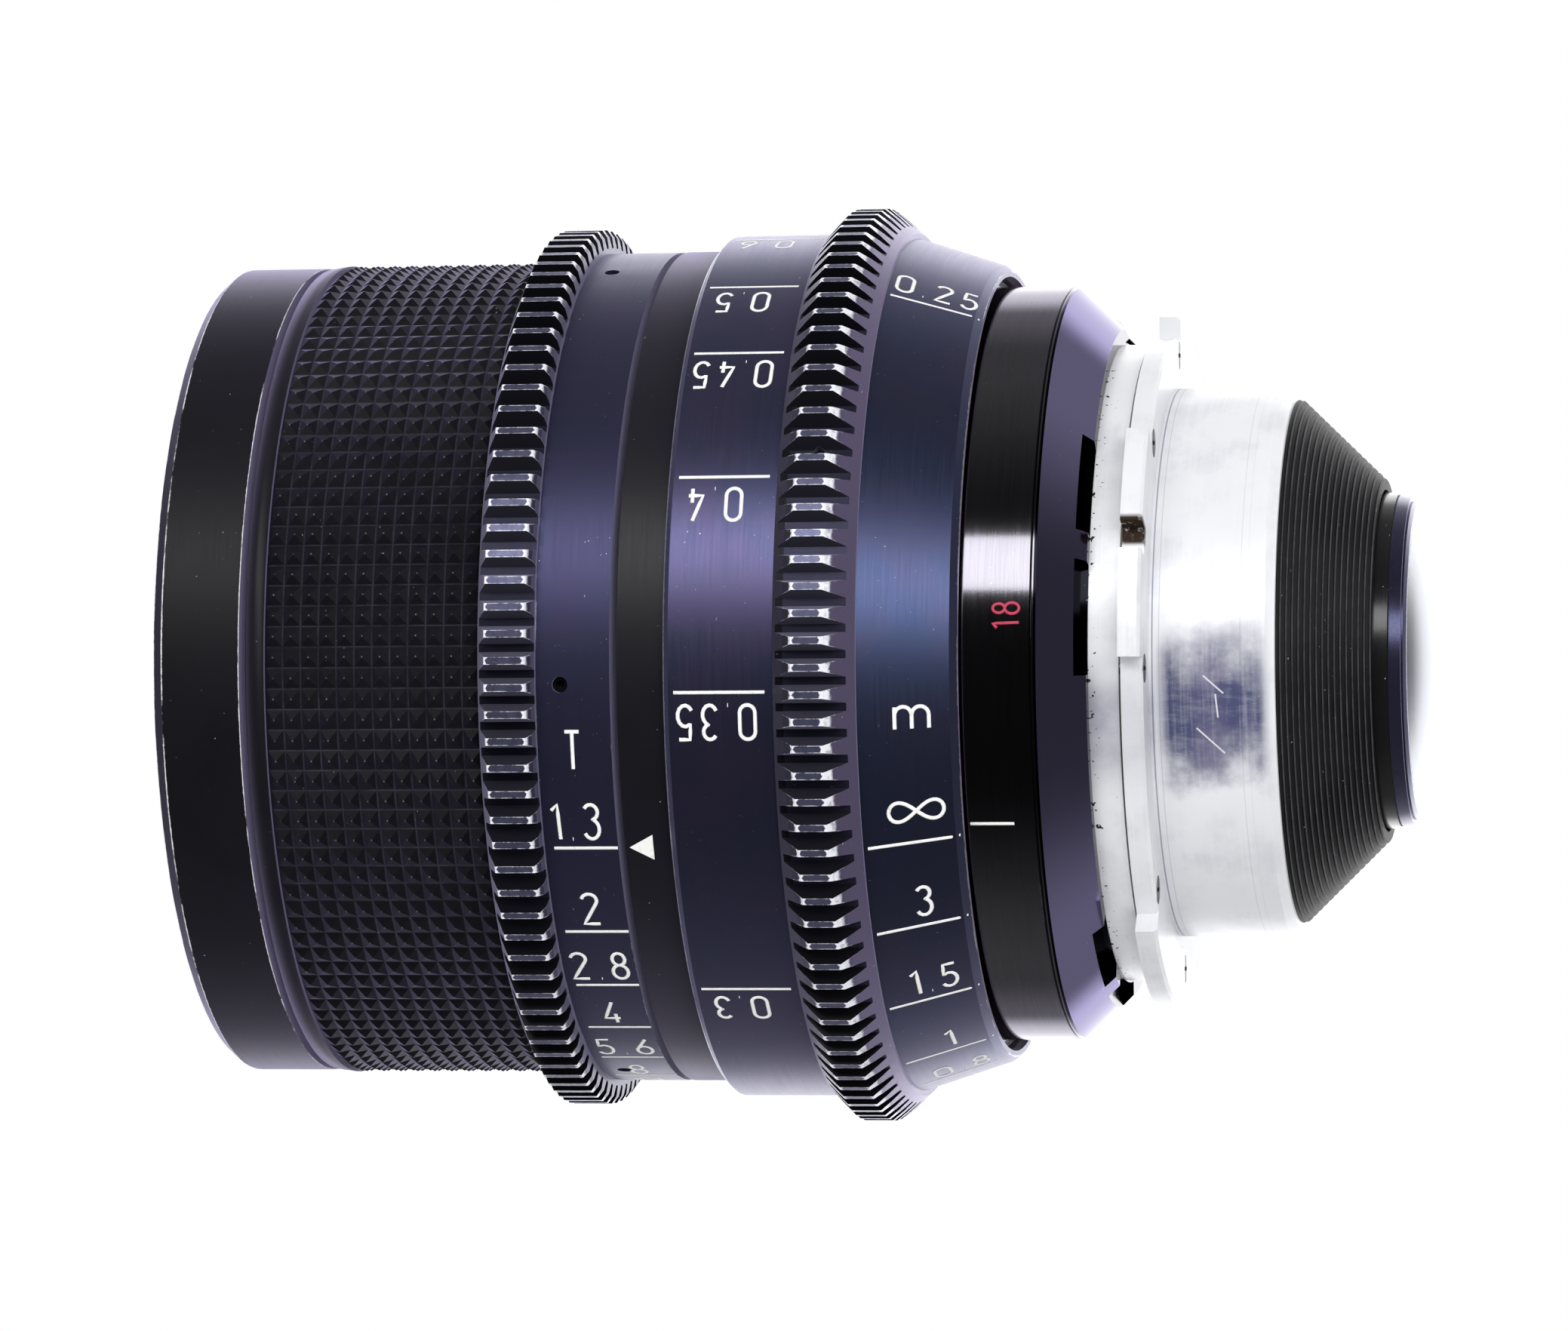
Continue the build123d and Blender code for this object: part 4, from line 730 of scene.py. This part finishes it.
# Engraved letters: the width and the strokes of each, at a height of 1. The sign ~ stands for infinity.
strokes = {
    "0": (0.45, [bow(0.225, 0.775, 0.225, 0.225, 0, 180) + bow(0.225, 0.225, 0.225, 0.225, 180, 360) +
                 [(0.45, 0.775)]]),
    "1": (0.20, [[(0.0, 0.84), (0.17, 1.0), (0.20, 0.0)]]),
    "2": (0.44, [bow(0.21, 0.79, 0.21, 0.21, 165, -32) + [(0.0, 0.0), (0.44, 0.0)]]),
    "3": (0.40, [bow(0.19, 0.78, 0.19, 0.22, 150, -75) + bow(0.19, 0.285, 0.21, 0.285, 78, -155)]),
    "4": (0.42, [[(0.28, 1.0), (0.0, 0.22), (0.42, 0.22)], [(0.31, 0.44), (0.31, 0.0)]]),
    "5": (0.40, [[(0.37, 1.0), (0.05, 1.0), (0.03, 0.57)] + bow(0.18, 0.31, 0.22, 0.31, 122, -150)]),
    "6": (0.42, [[(0.32, 1.0), (0.03, 0.40)] + bow(0.21, 0.27, 0.21, 0.27, 155, 515, 18)]),
    "8": (0.42, [bow(0.21, 0.77, 0.175, 0.23, -90, 270, 16) + bow(0.21, 0.27, 0.21, 0.27, 90, 450, 16)]),
    ".": (0.02, [[(0.0, 0.0), (0.02, 0.0)]]),
    "T": (0.38, [[(0.0, 1.0), (0.38, 1.0)], [(0.19, 1.0), (0.19, 0.0)]]),
    "m": (1.02, [[(0.0, 0.0), (0.0, 0.68)], bow(0.255, 0.42, 0.255, 0.27, 180, 0) + [(0.51, 0.0)],
                 bow(0.765, 0.42, 0.255, 0.27, 180, 0) + [(1.02, 0.0)]]),
    "~": (1.55, [[(0.775 + 0.775 * math.cos(t) / (1 + 0.25 * math.sin(t) ** 2),
                   0.62 + 0.62 * math.sin(t) * math.cos(t) / (1 + 0.1 * math.sin(t) ** 2))
                  for t in [math.radians(9 * n) for n in range(41)]]]),
}
letterGap = 0.335


def textWidth(text, height):
    return (sum(strokes[letter][0] + letterGap for letter in text) - letterGap) * height


# Strokes of a text, in letter heights, starting at 0
def textStrokes(text):
    lines = []
    cursor = 0.0
    for letter in text:
        width, parts = strokes[letter]
        lines += [[(cursor + x, y) for x, y in part] for part in parts]
        cursor += width + letterGap
    return lines


# Strokes of a text laid along the axis from a place and an angle; direction -1 turns it upside down
def layText(text, height, startX, angle, arcRadius, direction=1):
    arc = math.radians(angle) * arcRadius
    return [[(startX + direction * x * height, arc + direction * y * height) for x, y in line]
            for line in textStrokes(text)]


def layLine(fromX, toX, angle, arcRadius):
    arc = math.radians(angle) * arcRadius
    return [[(fromX, arc), (toX, arc)]]


# The same line in steps no longer than given, so that it can follow the curved surface
def inSteps(points, longest):
    fine = [points[0]]
    for nextX, nextArc in points[1:]:
        lastX, lastArc = fine[-1]
        parts = max(1, math.ceil(math.hypot(nextX - lastX, nextArc - lastArc) / longest))
        for part in range(1, parts + 1):
            share = part / parts
            fine.append((lastX + (nextX - lastX) * share, lastArc + (nextArc - lastArc) * share))
    return fine


# Paint in engraved strokes: flat beads laid on the surface.
# Lines are (along the axis, along the arc) points in millimetres, and the arc is measured at one radius.
def paintMarks(name, lines, surface, arcRadius, bead, material, body):
    clearSelection()
    curve = bpy.data.curves.new(name, "CURVE")
    curve.dimensions = "3D"
    curve.bevel_depth = bead["width"] / 2 * mm
    curve.bevel_resolution = 1
    curve.use_fill_caps = True
    for points in lines:
        fine = inSteps(points, bead["step"])
        spline = curve.splines.new("POLY")
        spline.points.add(len(fine) - 1)
        for point, (x, arc) in zip(spline.points, fine):
            point.co = (x * mm, arc * mm, 0, 1)
    piece = bpy.data.objects.new(name, curve)
    bpy.context.scene.collection.objects.link(piece)
    piece.select_set(True)
    bpy.context.view_layer.objects.active = piece
    bpy.ops.object.convert(target="MESH")
    piece = bpy.context.object
    for vertex in piece.data.vertices:
        x = vertex.co.x / mm
        angle = vertex.co.y / mm / arcRadius
        radius = surface(x) + vertex.co.z / mm * bead["height"] / bead["width"]
        vertex.co = (x * mm, -radius * math.cos(angle) * mm, radius * math.sin(angle) * mm)
    piece.data.materials.append(material)
    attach(piece, body)


paints = {"white": {"colour": (0.86, 0.86, 0.84), "roughness": 0.6},
          "red": {"colour": (0.50, 0.03, 0.08), "roughness": 0.5},
          "dullShare": 0.72, "bump": 0.00001}


def paint(name, look):
    material, tree, shader = newMaterial(name)
    worn = noise(tree, lensPlace(tree)["point"], 1.6, detail=4.0, roughness=0.7, seed=31.0)
    fresh = (*look["colour"], 1)
    dull = (*[channel * paints["dullShare"] for channel in look["colour"]], 1)
    feed(tree, shader.inputs["Base Color"], mixColour(tree, between(tree, worn, 0.55, 0.72), fresh, dull))
    shader.inputs["Roughness"].default_value = look["roughness"]
    addBump(tree, shader, worn, paints["bump"])
    return material


whitePaint = paint("whitePaint", paints["white"])
redPaint = paint("redPaint", paints["red"])
strokeBead = {"width": 0.38, "height": 0.07, "step": 0.9}
lineBead = {"width": 0.33, "height": 0.07, "step": 0.9}
redBead = {"width": 0.3, "height": 0.06, "step": 0.5}

# Iris scale: each stop's number, the angle of its line on the ring and the number's shift along the axis.
# The numbers stand just above the lines. The letter has its place, angle and height.
irisMarks = {"surface": 41.22, "lineFront": -55.6, "lineRear": -49.45, "height": 3.5, "textGap": 0.95,
             "stops": (("1.3", -24.6, -0.8), ("2", -37.8, -0.3), ("2.8", -47.9, -0.4), ("4", -57.9, -0.35),
                       ("5.6", -67.8, -0.3), ("8", -77.8, -0.3), ("11", -87.5, -0.5), ("16", -97.1, -0.5)),
             "letter": ("T", -53.85, -13.5, 3.6)}


def makeIrisMarks(size):
    radius = size["surface"]
    lines = []
    marks = []
    for text, angle, shift in size["stops"]:
        marks += layLine(size["lineFront"], size["lineRear"], angle, radius)
        startX = (size["lineFront"] + size["lineRear"] - textWidth(text, size["height"])) / 2 + shift
        gap = math.degrees(size["textGap"] / radius)
        lines += layText(text, size["height"], startX, angle + gap, radius)
    letter, letterX, letterAngle, letterHeight = size["letter"]
    lines += layText(letter, letterHeight, letterX, letterAngle, radius)
    paintMarks("irisNumbers", lines, lambda x: radius, radius, strokeBead, whitePaint, "iris_ring")
    paintMarks("irisLines", marks, lambda x: radius, radius, lineBead, whitePaint, "iris_ring")


makeIrisMarks(irisMarks)

# Focus scales in metres: one on the cone, and one the other way up on the sleeve, half a turn on. A mark's
# angle is turn / (distance - offset) past infinity. Text shifts are given by the number of letters.
focusScale = {"turn": 37.9, "offset": 0.1136, "height": 3.25, "textGap": 1.2,
              "distances": ("~", "3", "1.5", "1", "0.8", "0.6", "0.5", "0.45", "0.4", "0.35", "0.3", "0.25")}
coneProfile = ((-25.7, 42.2), (-17.3, 39.43), (-16.6, 38.83))


def coneSurface(x):
    start, end = coneProfile[:2] if x < coneProfile[1][0] else coneProfile[1:]
    return start[1] + (x - start[0]) / (end[0] - start[0]) * (end[1] - start[1])


coneMarks = {"name": "cone", "arcRadius": 41.0, "infinity": -24.3, "direction": 1, "lineFront": -25.3,
             "lineRear": -16.9, "textShift": {1: 0.4, 3: 0.3, 4: -0.1}, "unit": ("m", -22.3, -8.5, 3.05)}
sleeveMarks = {"name": "sleeve", "arcRadius": 42.72, "infinity": 157.0, "direction": -1, "lineFront": -43.0,
               "lineRear": -34.3, "textShift": {1: -0.75, 3: -0.75, 4: -0.3}, "unit": None}


def scaleAngle(distance):
    if distance == "~":
        return 0.0
    return focusScale["turn"] / (float(distance) - focusScale["offset"])


def makeFocusMarks(size, surface):
    radius = size["arcRadius"]
    direction = size["direction"]
    lines = []
    marks = []
    for distance in focusScale["distances"]:
        angle = size["infinity"] - scaleAngle(distance)
        marks += layLine(size["lineFront"], size["lineRear"], angle, radius)
        middle = (size["lineFront"] + size["lineRear"]) / 2 + size["textShift"][len(distance)]
        startX = middle - direction * textWidth(distance, focusScale["height"]) / 2
        gap = direction * math.degrees(focusScale["textGap"] / radius)
        lines += layText(distance, focusScale["height"], startX, angle + gap, radius, direction)
    if size["unit"]:
        unit, unitX, unitAngle, unitHeight = size["unit"]
        lines += layText(unit, unitHeight, unitX, unitAngle, radius)
    paintMarks(size["name"] + "Numbers", lines, surface, radius, strokeBead, whitePaint, "focus_ring")
    paintMarks(size["name"] + "Lines", marks, surface, radius, lineBead, whitePaint, "focus_ring")


makeFocusMarks(coneMarks, coneSurface)
makeFocusMarks(sleeveMarks, lambda x: sleeveMarks["arcRadius"])

# Index marks, which don't turn: a line and the focal length on the barrel, and a triangle on the band, which
# slides with the optical block. Each is there again on the far side.
indexMarks = {"barrelRadius": 37.23, "line": (-16.2, -12.0, -23.9), "number": ("18", -13.5, 5.2, 2.5),
              "farTurn": 181, "bandRadius": 41.25,
              "triangle": {"apex": -48.3, "base": -46.0, "halfHeight": 1.3, "raised": 0.04,
                           "thickness": 0.07, "angles": (-24.5, 156.5)}}


def makeBarrelMarks(size):
    barrel = size["barrelRadius"]
    fromX, toX, lineAngle = size["line"]
    text, topX, textAngle, height = size["number"]
    sides = (("", 0), ("Far", size["farTurn"]))
    for suffix, turn in sides:
        line = layLine(fromX, toX, lineAngle + turn, barrel)
        paintMarks("barrelLine" + suffix, line, lambda x: barrel, barrel, lineBead, whitePaint, "mount_body")
    for suffix, turn in sides:
        arc = math.radians(textAngle + turn) * barrel
        upward = [[(topX + height - y * height, arc + x * height) for x, y in part]
                  for part in textStrokes(text)]
        paintMarks("focalLength" + suffix, upward, lambda x: barrel, barrel, redBead, redPaint, "mount_body")


def makeTriangle(name, size, radius, angle):
    clearSelection()
    bpy.ops.mesh.primitive_circle_add(vertices=3, radius=1.0 * mm, fill_type="NGON")
    piece = bpy.context.object
    piece.name = name
    corners = ((size["apex"], 0.0), (size["base"], size["halfHeight"]), (size["base"], -size["halfHeight"]))
    for vertex, (x, arc) in zip(piece.data.vertices, corners):
        vertex.co = (x * mm, arc * mm, size["raised"] * mm)
    startEdit()
    bpy.ops.mesh.select_all(action="SELECT")
    bpy.ops.mesh.extrude_region_move(TRANSFORM_OT_translate={"value": (0, 0, -size["thickness"] * mm)})
    bpy.ops.mesh.select_all(action="SELECT")
    bpy.ops.mesh.subdivide(number_cuts=3)
    bpy.ops.mesh.normals_make_consistent(inside=False)
    leaveEdit()
    for vertex in piece.data.vertices:
        turn = math.radians(angle) + vertex.co.y / mm / radius
        reach = (radius + vertex.co.z / mm) * mm
        vertex.co = (vertex.co.x, -reach * math.cos(turn), reach * math.sin(turn))
    piece.data.materials.append(whitePaint)
    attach(piece, "optical_block")


makeBarrelMarks(indexMarks)
triangle = indexMarks["triangle"]
for number, triangleAngle in enumerate(triangle["angles"], 1):
    makeTriangle(f"bandTriangle_{number}", triangle, indexMarks["bandRadius"], triangleAngle)
print("stage 4: scales and index marks")


# Floor, lamps and world. The camera sees plain white all round. Mirrored, the white lies behind the
# object and the room before it is dark. Each zone is a share of the direction's x and y.
studio = {"floorZ": -0.9, "floorSize": 12.0, "floorColour": (0.85, 0.85, 0.86, 1), "worldDiffuse": 0.45,
          "darkFrom": (0.3, 0.9), "mirroredDark": (0.015, 0.11),
          "towardsDim": (0.33, 0.944), "dimFrom": (0.25, 0.62), "mirroredDim": 0.6,
          "towardsPale": (-0.6, 1.0), "paleFrom": (-0.75, 0.35), "mirroredPale": 0.2,
          "brightFrom": (0.68, 0.84), "mirroredBright": 2.6}


# Strength of the surroundings as a mirror sees them, from the direction they lie in
def mirroredStrength(tree, direction, size):
    split = tree.nodes.new("ShaderNodeSeparateXYZ")
    tree.links.new(direction, split.inputs[0])
    x, y = split.outputs[:2]
    shares = []
    for axis in (size["towardsDim"], size["towardsPale"]):
        shares.append(plus(tree, times(tree, x, axis[0]), times(tree, y, axis[1])))
    dark = between(tree, x, *size["darkFrom"], *size["mirroredDark"])
    pale = between(tree, shares[1], *size["paleFrom"], 0.0, size["mirroredPale"])
    dim = between(tree, shares[0], *size["dimFrom"], plus(tree, dark, pale), size["mirroredDim"])
    added = size["mirroredBright"] - size["mirroredDim"]
    return plus(tree, dim, between(tree, y, *size["brightFrom"], 0.0, added))


# Whether the surroundings are seen straight or through glass, and whether they are seen in a mirror,
# which can lie behind glass too
def waysSeen(tree):
    path = tree.nodes.new("ShaderNodeLightPath")
    through = path.outputs["Is Transmission Ray"]
    turned = times(tree, through, calc(tree, "GREATER_THAN", path.outputs["Glossy Depth"], 0.5))
    straight = largest(tree, path.outputs["Is Camera Ray"], minus(tree, through, turned))
    return straight, largest(tree, path.outputs["Is Glossy Ray"], turned)


def floorMaterial(name, size):
    material, tree, output = emptyMaterial(name)
    plain = tree.nodes.new("ShaderNodeBsdfDiffuse")
    plain.inputs["Color"].default_value = size["floorColour"]
    direction = tree.nodes.new("ShaderNodeVectorMath")
    direction.operation = "NORMALIZE"
    tree.links.new(tree.nodes.new("ShaderNodeNewGeometry").outputs["Position"], direction.inputs[0])
    mirrored = tree.nodes.new("ShaderNodeEmission")
    tree.links.new(mirroredStrength(tree, direction.outputs[0], size), mirrored.inputs["Strength"])
    straight, inMirror = waysSeen(tree)
    unseen = mixShaders(tree, inMirror, plain, mirrored)
    white = tree.nodes.new("ShaderNodeEmission")
    tree.links.new(mixShaders(tree, straight, unseen, white).outputs[0], output.inputs["Surface"])
    return material


def makeFloor(size):
    clearSelection()
    bpy.ops.mesh.primitive_plane_add(size=size["floorSize"], location=(0, 0, size["floorZ"]))
    floor = bpy.context.object
    floor.name = "floor"
    floor.data.materials.append(floorMaterial("floorPale", size))


def makeWorld(size):
    world = bpy.data.worlds.new("studioWorld")
    bpy.context.scene.world = world
    world.use_nodes = True
    tree = world.node_tree
    tree.nodes.clear()
    output = tree.nodes.new("ShaderNodeOutputWorld")
    direction = tree.nodes.new("ShaderNodeTexCoord").outputs["Generated"]
    straight, inMirror = waysSeen(tree)
    light = plus(tree, times(tree, inMirror, mirroredStrength(tree, direction, size)),
                 times(tree, minus(tree, 1.0, inMirror), size["worldDiffuse"]))
    strength = plus(tree, straight, times(tree, minus(tree, 1.0, straight), light))
    background = tree.nodes.new("ShaderNodeBackground")
    background.inputs["Color"].default_value = (1, 1, 1, 1)
    tree.links.new(strength, background.inputs["Strength"])
    tree.links.new(background.outputs[0], output.inputs["Surface"])


makeFloor(studio)
makeWorld(studio)

lampAim = Vector((-0.03, 0, 0))
softLamp = {"roll": 0, "glossy": False}
lamps = {
    "frontStrip": {"place": (0.12, -0.85, 0.42), "size": (1.5, 0.28), "power": 7.4, "roll": -17,
                   "glossy": True},
    "topSoft": dict(softLamp, place=(0.0, -0.1, 1.3), size=(1.4, 1.2), power=3.0),
    "lowSoft": dict(softLamp, place=(0.0, -0.7, -0.7), size=(1.2, 0.6), power=3.0),
    "leftFill": dict(softLamp, place=(-1.1, -0.5, 0.5), size=(0.7, 0.7), power=2.0),
    "rightFill": dict(softLamp, place=(1.1, -0.4, 0.5), size=(0.7, 0.7), power=2.5),
}


def addLamp(name, setup):
    bpy.ops.object.light_add(type="AREA", location=setup["place"])
    lamp = bpy.context.object
    lamp.name = name
    lamp.data.shape = "RECTANGLE"
    lamp.data.size, lamp.data.size_y = setup["size"]
    lamp.data.energy = setup["power"]
    aim = (lampAim - lamp.location).to_track_quat("-Z", "Y")
    lamp.rotation_euler = (aim @ Quaternion((0, 0, 1), math.radians(setup["roll"]))).to_euler()
    lamp.visible_glossy = setup["glossy"]
    lamp.visible_camera = False


for lampName, lampSetup in lamps.items():
    addLamp(lampName, lampSetup)
print("stage 5: studio")
